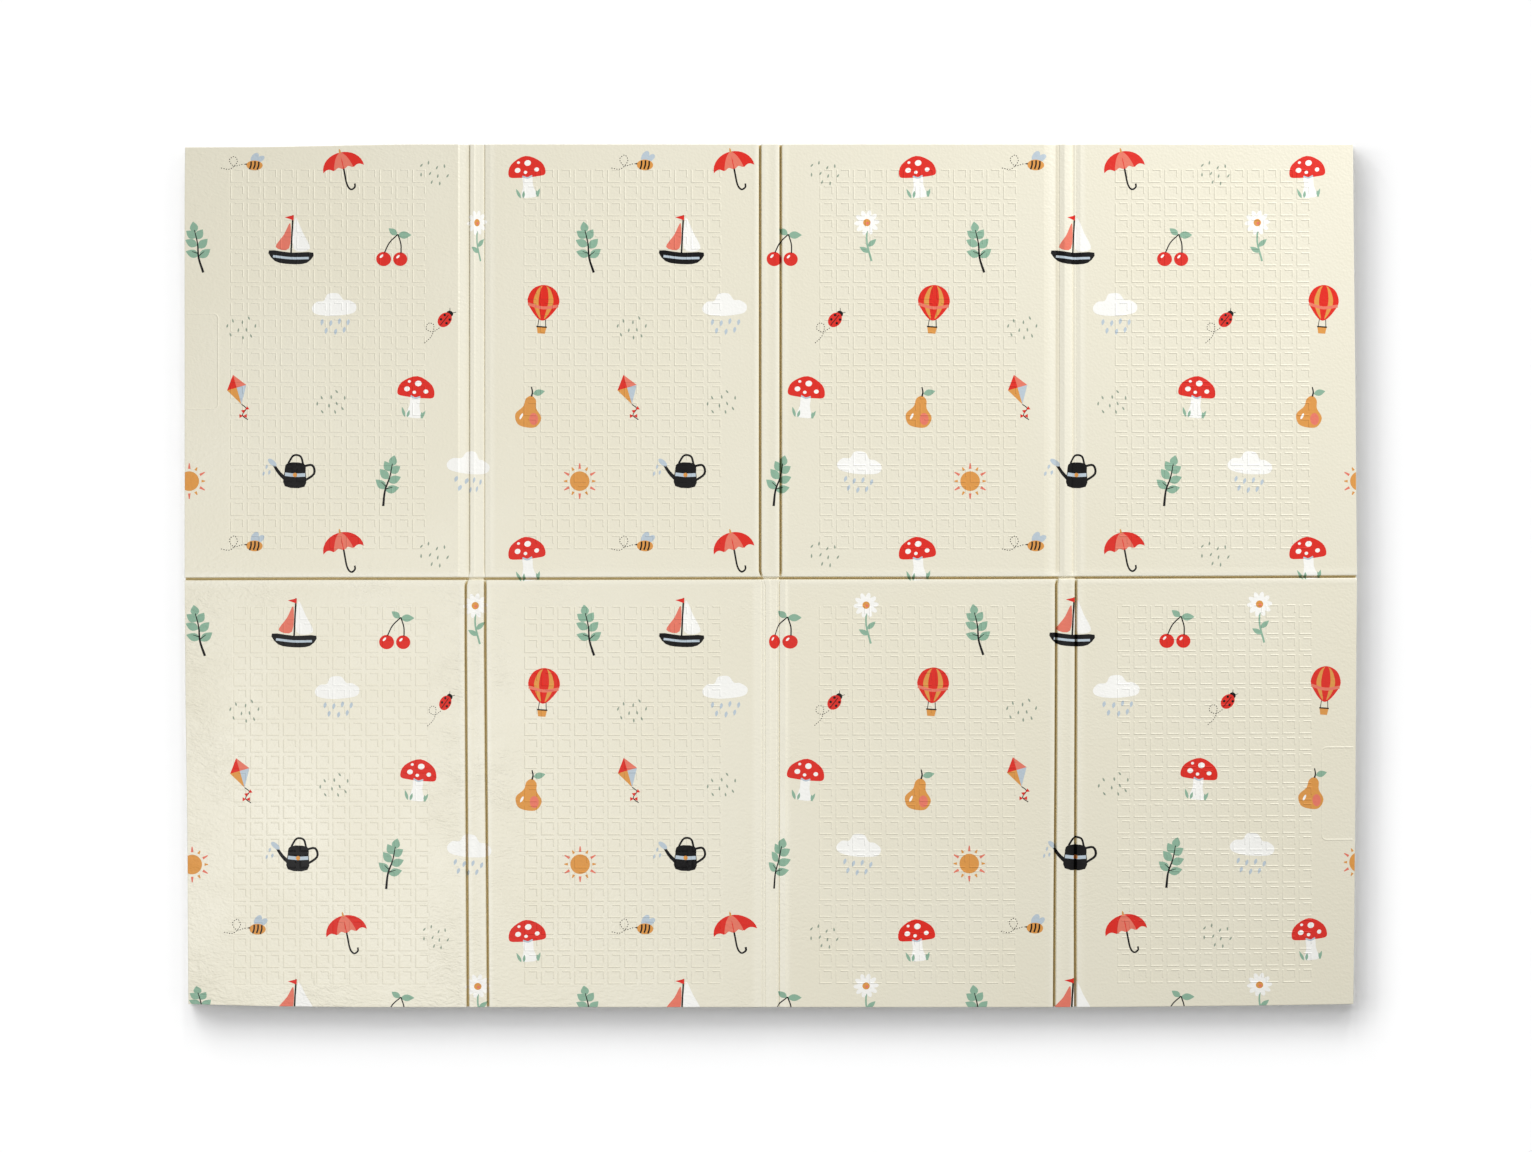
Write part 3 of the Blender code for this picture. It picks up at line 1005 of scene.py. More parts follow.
class PlayMat:
    """The pressed foam slab with its film: one closed mesh."""

    def __init__(self, relief: Relief) -> None:
        """Keeps the relief that the mat is pressed to."""
        self.relief = relief
        self.index = np.arange(len(relief.v) * len(relief.u)).reshape(len(relief.v), len(relief.u))

    def _span(self, stations: Array, low: float, high: float) -> tuple[int, int]:
        """Numbers of the stations nearest to two places."""
        return int(np.abs(stations - low).argmin()), int(np.abs(stations - high).argmin())

    def _cells(self, start: int) -> tuple[Array, Array, Array]:
        """The embossed squares of all fields, one template placed in each by broadcasting.

        Args:
            start: number of the first new point.

        Returns:
            New sheet places, triangles, and a mask of the grid faces that the squares replace.
        """
        relief = self.relief
        points, triangles = relief.cell.template()
        taken = np.zeros((len(relief.v) - 1, len(relief.u) - 1), bool)
        places, faces = [], []
        for field in relief.fields:
            i0, i1 = self._span(relief.u, *field.u)
            j0, j1 = self._span(relief.v, *field.v)
            taken[j0:j1, i0:i1] = True
            rows, columns = (a.ravel() for a in np.meshgrid(np.arange(field.rows),
                                                            np.arange(field.columns), indexing="ij"))
            corner = self.index[j0 + rows, i0 + columns]
            across = len(relief.u)
            corners = np.stack([corner, corner + 1, corner + 1 + across, corner + across], axis=-1)
            cell = np.stack([columns, rows], axis=-1)
            new = field.corner + (cell[:, None] + points[None, 4:]) * field.pitch
            count = new.shape[1]
            fresh = start + np.arange(len(cell) * count).reshape(-1, count)
            start += fresh.size
            places.append(new.reshape(-1, 2))
            faces.append(np.concatenate([corners, fresh], axis=1)[:, triangles].reshape(-1, 3))
        return np.concatenate(places), np.concatenate(faces), taken

    def _tab(self, tab: Tab, start: int, taken: Array) -> tuple[Array, list]:
        """A tab's raised line, set into the margin beside its field.

        Args:
            tab: the tab.
            start: number of the first new point.
            taken: mask of replaced grid faces, which gets the tab's.

        Returns:
            New sheet places, and faces: the strip's quads and triangles of the flat foam round it.
        """
        relief = self.relief
        strip = tab.strip(relief.sheet)
        rim = relief.sheet.length / 2 - relief.sheet.rim_reach
        field_edge = relief.field_columns[0][0] if tab.side < 0 else relief.field_columns[-1][1]
        i0, i1 = self._span(relief.u, *sorted((tab.side * rim, field_edge)))
        j0 = int(np.searchsorted(relief.v, tab.low - tab.half_width)) - 1
        j1 = int(np.searchsorted(relief.v, tab.high + tab.half_width))
        taken[j0:j1, i0:i1] = True
        border = np.concatenate([self.index[j0:j1 + 1, i1], self.index[j0:j1 + 1, i0][::-1]])
        row, place = np.divmod(border, len(relief.u))
        border_places = np.stack([relief.u[place], relief.v[row]], axis=-1)
        index = np.arange(strip.shape[0] * strip.shape[1]).reshape(strip.shape[:2])
        loop = np.concatenate([index[:, 0], index[-1, 1:-1], index[::-1, -1], index[0, -2:0:-1]])
        flat = strip.reshape(-1, 2)
        points = np.concatenate([border_places, flat])
        numbers = np.concatenate([border, start + np.arange(len(flat))])
        used = np.concatenate([np.arange(len(border)), loop + len(border)])
        edges = np.concatenate([ring_edges(0, len(border)), ring_edges(len(border), len(loop))])
        places, triangles, given = triangulate(points[used], edges)
        outer = ~within(places[triangles].mean(axis=1), flat[loop])
        faces = numbers[used[given[triangles[outer]]]].tolist()
        strip_faces = quads(index + start)
        if tab.side > 0:
            strip_faces = strip_faces[:, ::-1]
        return flat, faces + strip_faces.tolist()

    def _underside(self, rim: Array, start: int) -> tuple[Array, list]:
        """The underside: a grid without the fields' stations, joined to every point of the rim.

        Args:
            rim: the lower rim's point numbers as a grid, -1 off the rim.
            start: number of the first new point.

        Returns:
            Sheet places of the new points, and faces that look down.
        """
        relief = self.relief
        keep_u = ~np.isin(relief.u, np.concatenate([f.lines_u()[1:-1] for f in relief.fields]))
        keep_v = ~np.isin(relief.v, np.concatenate([f.lines_v()[1:-1] for f in relief.fields]))
        us, vs = np.flatnonzero(keep_u), np.flatnonzero(keep_v)
        index = rim.copy()
        inner = np.ix_(vs[1:-1], us[1:-1])
        index[inner] = start + np.arange((len(vs) - 2) * (len(us) - 2)).reshape(len(vs) - 2, -1)
        v, u = np.meshgrid(relief.v[vs[1:-1]], relief.u[us[1:-1]], indexing="ij")
        faces = quads(index[np.ix_(vs, us)])[:, ::-1].tolist()
        wide = len(us) - 1
        for low, high in zip(us[:-1], us[1:]):
            if high - low > 1:
                k = int(np.flatnonzero(us == low)[0])
                faces[k] = [index[vs[1], low], index[vs[1], high], *rim[0, low:high + 1][::-1].tolist()]
                faces[k + wide * (len(vs) - 2)] = [index[vs[-2], high], index[vs[-2], low],
                                                   *rim[-1, low:high + 1].tolist()]
        for low, high in zip(vs[:-1], vs[1:]):
            if high - low > 1:
                k = int(np.flatnonzero(vs == low)[0]) * wide
                faces[k] = [index[high, us[1]], index[low, us[1]], *rim[low:high + 1, 0].tolist()]
                faces[k + wide - 1] = [index[low, us[-2]], index[high, us[-2]],
                                       *rim[low:high + 1, -1][::-1].tolist()]
        faces = [[int(n) for n in face] for face in faces]
        return np.stack([u.ravel(), v.ravel()], axis=-1), faces

    def build(self, film: bpy.types.Material, foam: bpy.types.Material) -> bpy.types.Object:
        """Builds the mat.

        Args:
            film: finish of the top and the underside.
            foam: finish of the cut sides.

        Returns:
            The mat: the top's grid, squares and tabs, a wall down each side, and the underside.
        """
        relief = self.relief
        v, u = np.meshgrid(relief.v, relief.u, indexing="ij")
        top = [np.stack([u.ravel(), v.ravel()], axis=-1)]
        new, triangles, taken = self._cells(len(top[0]))
        top.append(new)
        faces = triangles.tolist()
        for tab in relief.tabs:
            new, tab_faces = self._tab(tab, sum(map(len, top)), taken)
            top.append(new)
            faces += tab_faces
        faces += quads(self.index)[~taken.ravel()].tolist()
        top_uv = np.concatenate(top)
        loop = np.concatenate([self.index[0, :-1], self.index[:-1, -1], self.index[-1, :0:-1],
                               self.index[:0:-1, 0]])
        low_loop = len(top_uv) + np.arange(len(loop))
        walls = np.stack([loop, low_loop, np.roll(low_loop, -1), np.roll(loop, -1)], axis=-1)
        rim = np.full(self.index.shape, -1)
        rim.ravel()[loop] = low_loop
        under_uv, under_faces = self._underside(rim, len(top_uv) + len(loop))
        under_uv = np.concatenate([top_uv[loop], under_uv])
        under = np.stack([*relief.plan(*under_uv.T), relief.under_height(*under_uv.T)], axis=-1)
        points = np.concatenate([relief.place(top_uv), under])
        masks = {name: np.concatenate([value, np.zeros(len(under))])
                 for name, value in relief.masks(top_uv).items()}
        mat = build_object("mat", points, faces + walls.tolist() + under_faces, [film, foam], masks)
        kinds = np.zeros(len(mat.data.polygons), int)
        kinds[len(faces):len(faces) + len(walls)] = 1
        mat.data.polygons.foreach_set("material_index", kinds)
        facing = face_normals(mat.data)
        inner = relief.sheet.inside(*top_uv.T) > relief.sheet.rim_reach * RIM_SHARE
        facing[:len(top_uv)][inner] = relief.normals(top_uv[inner])
        set_normals(mat.data, facing, relief, top_uv, inner)
        return mat


class Ink(Enum):
    """The inks of the print, each with its colour in linear light."""

    RED = (0.76, 0.027, 0.017)
    CORAL = (0.83, 0.205, 0.140)
    MUSTARD = (0.76, 0.335, 0.075)
    SAGE = (0.280, 0.475, 0.345)
    BLACK = (0.0045, 0.0040, 0.0045)
    WHITE = (0.990, 0.985, 0.945)
    MIST = (0.52, 0.61, 0.68)
    REED = (0.300, 0.365, 0.285)


@dataclass(frozen=True)
class Patch:
    """One inked patch: its ink and its closed outline, in millimetres."""

    ink: Ink
    outline: Array


red, coral, mustard, sage, black, white, mist, reed = (partial(Patch, ink) for ink in Ink)


def blob(points: list[Point], steps: int = 4) -> Array:
    """Closed Catmull-Rom curve through the points.

    Args:
        points: points that the curve passes, in order.
        steps: points on each span.

    Returns:
        On each span, half of 2b + (c - a)t + (2a - 5b + 4c - d)t^2 + (3b - a - 3c + d)t^3.
    """
    b = np.array(points, float)[:, None]
    a, c, d = np.roll(b, 1, axis=0), np.roll(b, -1, axis=0), np.roll(b, -2, axis=0)
    t = (np.arange(steps) / steps)[None, :, None]
    curve = 2 * b + (c - a) * t + (2 * a - 5 * b + 4 * c - d) * t**2 + (3 * b - a - 3 * c + d) * t**3
    return curve.reshape(-1, 2) / 2


def path(points: list[Point], steps: int = 4) -> Array:
    """Open Catmull-Rom curve through the points, its ends carried on straight."""
    before, after = (tuple(2 * np.array(end) - inner) for end, inner in (points[:2], points[:-3:-1]))
    return blob([before, *points, after], steps)[steps:steps * len(points) + 1]


def turned(points: Array, degrees: float) -> Array:
    """Points turned anticlockwise round the origin."""
    angle = math.radians(degrees)
    return points @ np.array([(math.cos(angle), math.sin(angle)), (-math.sin(angle), math.cos(angle))])


def oval(x: float, y: float, wide: float, high: float, turn: float = 0.0, count: int = 18) -> Array:
    """Ellipse round (x, y) with these half sizes, turned by degrees."""
    angle = np.linspace(0.0, 2 * math.pi, count, endpoint=False)
    return turned(np.stack([wide * np.cos(angle), high * np.sin(angle)], axis=-1), turn) + (x, y)


def leaf(x: float, y: float, length: float, wide: float, turn: float, count: int = 7) -> Array:
    """Pointed leaf from (x, y) outwards: half width is wide times sin(pi t^0.85) along its length."""
    t = np.linspace(0.0, 1.0, count)
    side = wide * np.sin(math.pi * t**0.85)
    low, high = np.stack([length * t, -side], axis=-1), np.stack([length * t, side], axis=-1)
    return turned(np.concatenate([low, high[-2:0:-1]]), turn) + (x, y)


def band(points: list[Point], wide: float, end: float | None = None, steps: int = 4) -> Array:
    """A stroke of the pen along a soft path.

    Args:
        points: points that the path passes.
        wide: width at the start.
        end: width at the end, the same unless given.
        steps: points on each span.

    Returns:
        The path set off to both sides by half its width, as one outline.
    """
    line = path(points, steps)
    ahead = np.gradient(line, axis=0)
    ahead /= np.linalg.norm(ahead, axis=1, keepdims=True)
    side = np.stack([-ahead[:, 1], ahead[:, 0]], axis=-1)
    half = np.linspace(wide, wide if end is None else end, len(line))[:, None] / 2
    return np.concatenate([line - side * half, (line + side * half)[::-1]])


def dots(points: list[Point], size: float, gap: float, slim: float = 0.62, steps: int = 8) -> list[Array]:
    """Small dots along a soft path.

    Args:
        points: points that the path passes.
        size: half the length of a dot.
        gap: distance from dot to dot.
        slim: a dot's width over its length.
        steps: points on each span of the path and round each dot.

    Returns:
        Ovals, each longer along the path.
    """
    line = path(points, steps)
    run = np.concatenate([[0.0], np.cumsum(np.linalg.norm(np.diff(line, axis=0), axis=1))])
    stops = np.arange(0.0, run[-1], gap)
    xs, ys = np.interp(stops, run, line[:, 0]), np.interp(stops, run, line[:, 1])
    turns = np.degrees(np.arctan2(np.gradient(ys), np.gradient(xs)))
    return [oval(x, y, size, size * slim, turn, steps) for x, y, turn in zip(xs, ys, turns)]


class Motif(Enum):
    """The print's motifs, each with the name of its drawing and the size that this is brought to."""

    BALLOON = ("balloon", 1.12)
    BOAT = ("boat", 1.25)
    UMBRELLA = ("umbrella", 1.20)
    TOADSTOOL = ("toadstool", 1.28)
    WATERING_CAN = ("watering_can", 1.18)
    SUN = ("sun", 1.18)
    CLOUD = ("cloud", 1.22)
    DAISY = ("daisy", 1.12)
    SPRIG = ("sprig", 1.12)
    PEAR = ("pear", 1.22)
    LADYBIRD = ("ladybird", 1.0)
    BEE = ("bee", 1.06)
    SEEDS = ("seeds", 1.12)
    CHERRIES = ("cherries", 1.2)
    KITE = ("kite", 1.12)


class MotifBook:
    """Draws each motif as inked patches, the lowest first."""

    def balloon(self) -> list[Patch]:
        """A striped balloon with its basket."""
        envelope = blob([(-5, -13), (5, -13), (17, 0), (24, 15), (17, 32), (0, 39), (-17, 32), (-24, 15),
                         (-17, 0)])
        side = [(-3, -12), (-11, 0), (-15, 15), (-10, 31), (-3, 37.5), (-5.5, 31), (-7.5, 15), (-5, 0)]
        ropes = [band([(-5, -13), (-6, -23)], 1.1), band([(5, -13), (6, -23)], 1.1)]
        patches = [red(envelope)]
        patches += [mustard(blob([(k * x, y) for x, y in side])) for k in (-1, 1)]
        patches.append(coral(band([(-22.6, 9), (0, 4.5), (22.6, 9)], 4.5)))
        patches += [black(rope) for rope in ropes]
        patches.append(mustard(np.array([(-7.5, -23), (-5.5, -34), (5.5, -34), (7.5, -23)])))
        patches.append(black(band([(-7.8, -24), (7.8, -24)], 2.0)))
        return patches

    def boat(self) -> list[Patch]:
        """A sailing boat: dark hull, one white sail and one coral."""
        hull = blob([(-30, -13), (0, -14.5), (30, -13), (22, -27), (0, -30), (-21, -27)], 3)
        patches = [black(hull), mist(band([(-24, -20.5), (0, -22), (24.5, -20.5)], 3.2)),
                   black(band([(0, -15), (0, 36)], 2.2)),
                   white(blob([(3, -9), (25, -8), (14, 14), (3, 32)], 4)),
                   coral(blob([(-3, -9), (-3, 25), (-11, 9), (-21, -8)], 4)),
                   red(np.array([(1, 36), (1, 29), (-11, 32.5)]))]
        return patches

    def umbrella(self) -> list[Patch]:
        """An open umbrella with alternate panels and a hooked handle."""
        angle = np.linspace(0.0, math.pi, 17)
        dome = np.stack([29 * np.cos(angle), 25 * np.sin(angle) + 2], axis=-1)
        hem = np.linspace(-29, 29, 25)[1:-1]
        scallops = np.stack([hem, 2 + 3.4 * np.abs(np.sin(math.pi * (hem + 29) / 14.5))], axis=-1)
        patches = [black(band([(0, 30), (0, 0), (0, -20), (4, -28), (10, -26), (11, -21)], 2.4)),
                   red(np.concatenate([dome, scallops]))]
        for k in (-1, 1):
            panel = [(0.0, 27), (k * 8, 19), (k * 13.6, 2.6), (k * 7, 5.2), (k * 1, 2.6), (k * 0.6, 14)]
            patches.append(coral(blob(panel, 3)))
        patches.append(mustard(band([(0, 26), (0, 32)], 3.0, 1.2)))
        return patches

    def toadstool(self) -> list[Patch]:
        """A toadstool with a spotted cap."""
        patches = [white(blob([(-6, 4), (6, 4), (6.5, -12), (10, -26), (0, -28), (-10, -26),
                                          (-6.5, -12)])),
                   red(blob([(-24, 2), (-12, -1), (12, -1), (24, 2), (20, 17), (0, 27), (-20, 17)]))]
        spots = ((-12, 9, 3.8), (2, 17.5, 4.4), (13, 8, 3.2), (-2, 5.5, 2.4), (-10, 19, 2.0))
        patches += [white(oval(x, y, r, 0.86 * r, 12, 12)) for x, y, r in spots]
        patches.append(mist(band([(-6.4, 0.5), (0, -2.0), (6.4, 0.5)], 2.2)))
        patches += [sage(leaf(x, -28, long, 1.9, turn)) for x, long, turn in
                    ((-11, 14, 112), (-8, 10, 78), (10, 12, 66), (12, 9, 102))]
        return patches

    def watering_can(self) -> list[Patch]:
        """A dark watering can with a pale band, and drops at its rose."""
        body = blob([(-9, -21), (19, -21), (20, 0), (17, 12), (-6, 12), (-10, 0)], 3)
        patches = [black(band([(16, 8), (29, 10), (32, -2), (18, -13)], 3.2)),
                   black(band([(-5, 12), (2, 23), (12, 22), (16, 11)], 2.8)),
                   black(band([(-6, -13), (-18, -2), (-27, 11)], 6.0, 3.4)),
                   black(body),
                   mist(oval(-28, 12, 3.6, 7.6, 52, 14)),
                   mist(band([(-9.4, -4), (5, -5), (19.6, -4)], 5.0)),
                   mustard(oval(5, -4.6, 3.1, 3.1, 0, 12))]
        patches += [mist(leaf(x, y, 7, 1.7, -102)) for x, y in ((-35, 9), (-31, 1), (-39, -1))]
        return patches

    def sun(self) -> list[Patch]:
        """A sun with short rays."""
        patches = [mustard(oval(0, 0, 14, 14, 0, 28))]
        for k in range(12):
            near, far = (17.5, 25.5) if k % 2 else (17.5, 22.5)
            ray = np.array([(near, -1.9), (far, -0.7), (far, 0.7), (near, 1.9)])
            patches.append(Patch(Ink.CORAL if k % 2 else Ink.MUSTARD, turned(ray, 30 * k)))
        return patches

    def cloud(self) -> list[Patch]:
        """A cloud with rain below it."""
        outline = blob([(-27, -4), (-10, -8), (10, -8), (27, -5), (30, 5), (21, 12), (13, 13), (6, 22),
                        (-8, 22), (-14, 13), (-24, 12), (-31, 4)])
        patches = [white(outline)]
        patches += [mist(leaf(x, y, 9, 2.1, -104)) for x, y in
                    ((-17, -12), (-5, -14), (7, -12), (19, -14), (-12, -24), (1, -26), (13, -24))]
        return patches

    def daisy(self) -> list[Patch]:
        """A tall white daisy."""
        patches = [sage(band([(0, 12), (-2, -10), (3, -38)], 2.2, 3.0)),
                   sage(leaf(-1, -16, 17, 3.8, 38)), sage(leaf(0.5, -25, 17, 3.8, 146))]
        patches += [white(oval(11.5 * math.cos(a), 20 + 11.5 * math.sin(a), 7.6, 3.7,
                                          math.degrees(a), 12))
                    for a in np.linspace(0, 2 * math.pi, 10, endpoint=False)]
        return patches + [mustard(oval(0, 20, 5.6, 5.6)), coral(oval(0.9, 19, 2.3, 2.1))]

    def sprig(self) -> list[Patch]:
        """A sprig of paired sage leaves on a dark stem."""
        patches = [sage(leaf(x, y, long, 6.2, turn)) for x, y, long, turn in
                   ((0, -15, 21, 28), (0, -12, 21, 152), (1, -1, 20, 36), (0, 3, 20, 144), (0, 13, 18, 46),
                    (0, 15, 18, 134), (0, 23, 17, 90))]
        return patches + [black(band([(2, -38), (-1, -15), (1, 6), (0, 27)], 3.6, 1.2)),
                          black(band([(0, -12), (9, -7)], 1.5, 0.8)),
                          black(band([(0, -9), (-9, -4)], 1.5, 0.8))]

    def pear(self) -> list[Patch]:
        """A pear with one leaf and a blush."""
        body = blob([(0, 16), (7, 11), (9, 0), (18, -12), (13, -25), (0, -28), (-13, -25), (-18, -12),
                     (-9, 0), (-7, 11)])
        return [mustard(body), coral(oval(8, -15, 6.2, 8.4, 12)),
                white(oval(-9.5, -14, 1.6, 4.6, -18, 10)),
                sage(leaf(1.5, 19, 17, 4.4, 22)),
                black(band([(0, 15), (0.5, 21), (-2, 28)], 2.4, 1.6))]

    def ladybird(self) -> list[Patch]:
        """A ladybird and the dotted line of its flight."""
        patches = [black(oval(19, 19, 5.6, 5.6, 0, 14)), red(oval(10, 10, 13.4, 10.6, 45)),
                   black(band([(1.6, 1.6), (17, 17)], 1.3)),
                   black(band([(20, 23), (21, 29)], 1.1, 0.8)),
                   black(band([(23, 20), (29, 21)], 1.1, 0.8))]
        spots = ((4, 11.5), (12.5, 4), (11, 18), (18.5, 9.5))
        patches += [black(oval(x, y, 2.2, 2.2, 0, 10)) for x, y in spots]
        trail = [(-1, -3), (-12, -8), (-22, -2), (-18, 7), (-9, 3), (-14, -14), (-27, -25)]
        return patches + [black(dot) for dot in dots(trail, 1.15, 4.0)]

    def bee(self) -> list[Patch]:
        """A bee and the dotted line of its flight."""
        wings = [oval(13, 14, 9, 5.4, 68, 14), oval(22, 12.5, 8, 4.6, 48, 14)]
        patches = [mist(wing) for wing in wings] + [mustard(oval(15, 0, 13, 8.6, 8))]
        patches += [black(band([(x, y), (x + 1.0, y - 7), (x, y - 14)], 2.5)) for x, y in
                    ((8.5, 5.8), (14.5, 7.4), (20.5, 7.4))]
        patches.append(black(np.array([(2.6, -1.6), (2.4, 1.2), (-2.5, -1.2)])))
        trail = [(-5, -2), (-17, -7), (-26, 2), (-19, 10), (-13, 1), (-22, -13), (-38, -14)]
        return patches + [black(dot) for dot in dots(trail, 1.15, 4.0)]

    def seeds(self) -> list[Patch]:
        """A loose cluster of small seed marks."""
        spots = ((-20, 6, 64), (-9, 12, 96), (4, 8, 78), (16, 13, 110), (22, 0, 70), (9, -4, 92),
                 (-4, -3, 74), (-15, -8, 104), (2, -15, 84), (15, -14, 100))
        return [reed(leaf(x, y, 6.4, 1.25, turn, 5)) for x, y, turn in spots]

    def cherries(self) -> list[Patch]:
        """Two cherries on one stalk."""
        return [red(oval(-11, -14, 10.5, 10, 0, 22)), red(oval(12, -11, 10, 9.6, 0, 22)),
                white(oval(-14.5, -10.5, 1.5, 3.2, -35, 10)),
                white(oval(8.5, -8, 1.5, 3.0, -35, 10)),
                sage(leaf(4, 22, 19, 5.2, 8)), sage(leaf(3, 22, 15, 4.4, 150)),
                black(band([(-11, -5), (-6, 10), (4, 23)], 1.7)),
                black(band([(12, -2.5), (10, 10), (4, 23)], 1.7))]

    def kite(self) -> list[Patch]:
        """A kite of four panels with a bowed tail."""
        right, top, left, low, mid = (15, 14), (0, 34), (-15, 14), (0, -12), (0, 14)
        patches = [Patch(ink, np.array(corners, float)) for ink, corners in
                   ((Ink.CORAL, (mid, right, top)), (Ink.RED, (mid, top, left)),
                    (Ink.MUSTARD, (mid, left, low)), (Ink.MIST, (mid, low, right)))]
        patches.append(black(band([(0, -12), (5, -20), (-3, -28), (3, -37)], 1.3)))
        for x, y, turn in ((3.2, -21.5, 20), (-2.4, -29.5, -15)):
            bow = np.array([(0, 0), (-5.5, 3), (-5.5, -3), (0, 0), (5.5, -3), (5.5, 3)], float)
            patches += [red(turned(half, turn) + (x, y)) for half in (bow[:3], bow[3:])]
        return patches

    def drawing(self, motif: Motif) -> list[Patch]:
        """The patches of one motif at its full size, from the method that draws it."""
        method, size = motif.value
        draw: Callable[[], list[Patch]] = getattr(self, method)
        return [Patch(patch.ink, patch.outline * size) for patch in draw()]


@dataclass(frozen=True)
class Spot:
    """Where one motif stands in the print's repeat, in millimetres and degrees."""

    motif: Motif
    x: float
    y: float
    turn: float = 0.0


class Print:
    """The printed layer: motifs over the whole sheet, cut along the relief's facets, one piece an ink."""

    repeat = (656.0, 640.0)
    start = (-1105.0, -905.0)
    rise = 0.00008
    sunk = 0.00010
    edge_room = 0.0004
    margin = 0.0008
    spots = (
        Spot(Motif.BALLOON, 66, 70, -4), Spot(Motif.SEEDS, 214, 38, 8), Spot(Motif.CLOUD, 372, 72, 3),
        Spot(Motif.LADYBIRD, 548, 44, 6), Spot(Motif.SPRIG, 142, 176, 10), Spot(Motif.BOAT, 300, 186, -3),
        Spot(Motif.CHERRIES, 470, 172, -8), Spot(Motif.DAISY, 612, 196, 4), Spot(Motif.TOADSTOOL, 40, 296, 5),
        Spot(Motif.BEE, 222, 318, -10), Spot(Motif.UMBRELLA, 388, 306, 12), Spot(Motif.SEEDS, 536, 300, -14),
        Spot(Motif.SUN, 128, 424, 0), Spot(Motif.WATERING_CAN, 300, 440, -2),
        Spot(Motif.SPRIG, 462, 424, -14), Spot(Motif.CLOUD, 598, 446, -4), Spot(Motif.PEAR, 44, 548, -9),
        Spot(Motif.KITE, 212, 566, 16), Spot(Motif.SEEDS, 366, 552, 20), Spot(Motif.TOADSTOOL, 508, 566, -6),
    )

    def __init__(self, relief: Relief) -> None:
        """Keeps the relief that the ink lies on, and draws each motif once."""
        self.relief = relief
        book = MotifBook()
        self.drawings = {motif: book.drawing(motif) for motif in Motif}

    def _placed(self) -> list[list[Patch]]:
        """All motifs of all repeats that reach the sheet.

        Returns:
            For each motif its patches in sheet coordinates, in metres.
        """
        half = self.relief.sheet.half
        repeats = np.ceil((half / MM - self.start) / self.repeat).astype(int)
        placed = []
        for row in range(repeats[1] + 1):
            for place in range(repeats[0] + 1):
                for spot in self.spots:
                    middle = np.array(self.start) + np.array(self.repeat) * (place, row) + (spot.x, spot.y)
                    moved = [Patch(p.ink, (turned(p.outline, spot.turn) + middle) * MM)
                             for p in self.drawings[spot.motif]]
                    every = np.concatenate([p.outline for p in moved])
                    if (every.max(axis=0) > -half).all() and (every.min(axis=0) < half).all():
                        placed.append(moved)
        return placed

    def _cut(self, patches: list[Patch]) -> tuple[Array, Array, list[Ink]]:
        """Cuts one motif along the relief's facets; each place takes the ink printed last.

        Args:
            patches: the motif in sheet coordinates.

        Returns:
            Sheet places, triangles, and each triangle's ink.
        """
        relief = self.relief
        drawn = np.concatenate([p.outline for p in patches])
        low, high = drawn.min(axis=0) - self.margin, drawn.max(axis=0) + self.margin
        half = relief.sheet.half - self.edge_room
        points, edges = relief.creases(low, high)
        outlines = [patch.outline for patch in patches]
        if (low < -half).any() or (high > half).any():
            outlines.append(np.array([(-1, -1), (1, -1), (1, 1), (-1, 1)]) * half)
        starts = len(points) + np.cumsum([0] + [len(outline) for outline in outlines])
        rings = [ring_edges(start, len(outline)) for start, outline in zip(starts, outlines)]
        places, triangles, _ = triangulate(np.concatenate([points, *outlines]),
                                           np.concatenate([edges, *rings]))
        middles = places[triangles].mean(axis=1)
        last = np.full(len(triangles), -1)
        for number, patch in enumerate(patches):
            last[within(middles, patch.outline)] = number
        kept = (last >= 0) & (np.abs(middles) < half).all(axis=1)
        return places, triangles[kept], [patches[number].ink for number in last[kept]]

    def _shell(self, name: str, uv: Array, triangles: Array,
               material: bpy.types.Material) -> bpy.types.Object:
        """One ink as a thin closed shell on the mat.

        Args:
            name: the piece's name.
            uv: sheet places.
            triangles: the ink's triangles.
            material: its finish.

        Returns:
            The piece: the facets raised a little, the same sunk a little, and walls along the outlines.
        """
        used, flat = np.unique(triangles, return_inverse=True)
        faces = flat.reshape(-1, 3)
        uv = uv[used]
        count = len(uv)
        ground = self.relief.place(uv)
        points = np.concatenate([ground + (0, 0, self.rise), ground - (0, 0, self.sunk)])
        sides = np.concatenate([faces[:, (0, 1)], faces[:, (1, 2)], faces[:, (2, 0)]])
        keys, back = sides[:, 0] * count + sides[:, 1], sides[:, 1] * count + sides[:, 0]
        rim = sides[~np.isin(keys, back)]
        walls = np.stack([rim[:, 0], rim[:, 0] + count, rim[:, 1] + count, rim[:, 1]], axis=-1)
        masks = {label: np.tile(value, 2) for label, value in self.relief.masks(uv).items()}
        every = faces.tolist() + (faces[:, ::-1] + count).tolist() + walls.tolist()
        made = build_object(name, points, every, [material], masks)
        facing = self.relief.normals(uv)
        set_normals(made.data, np.concatenate([facing, -facing]), self.relief, uv, np.ones(count, bool))
        return made

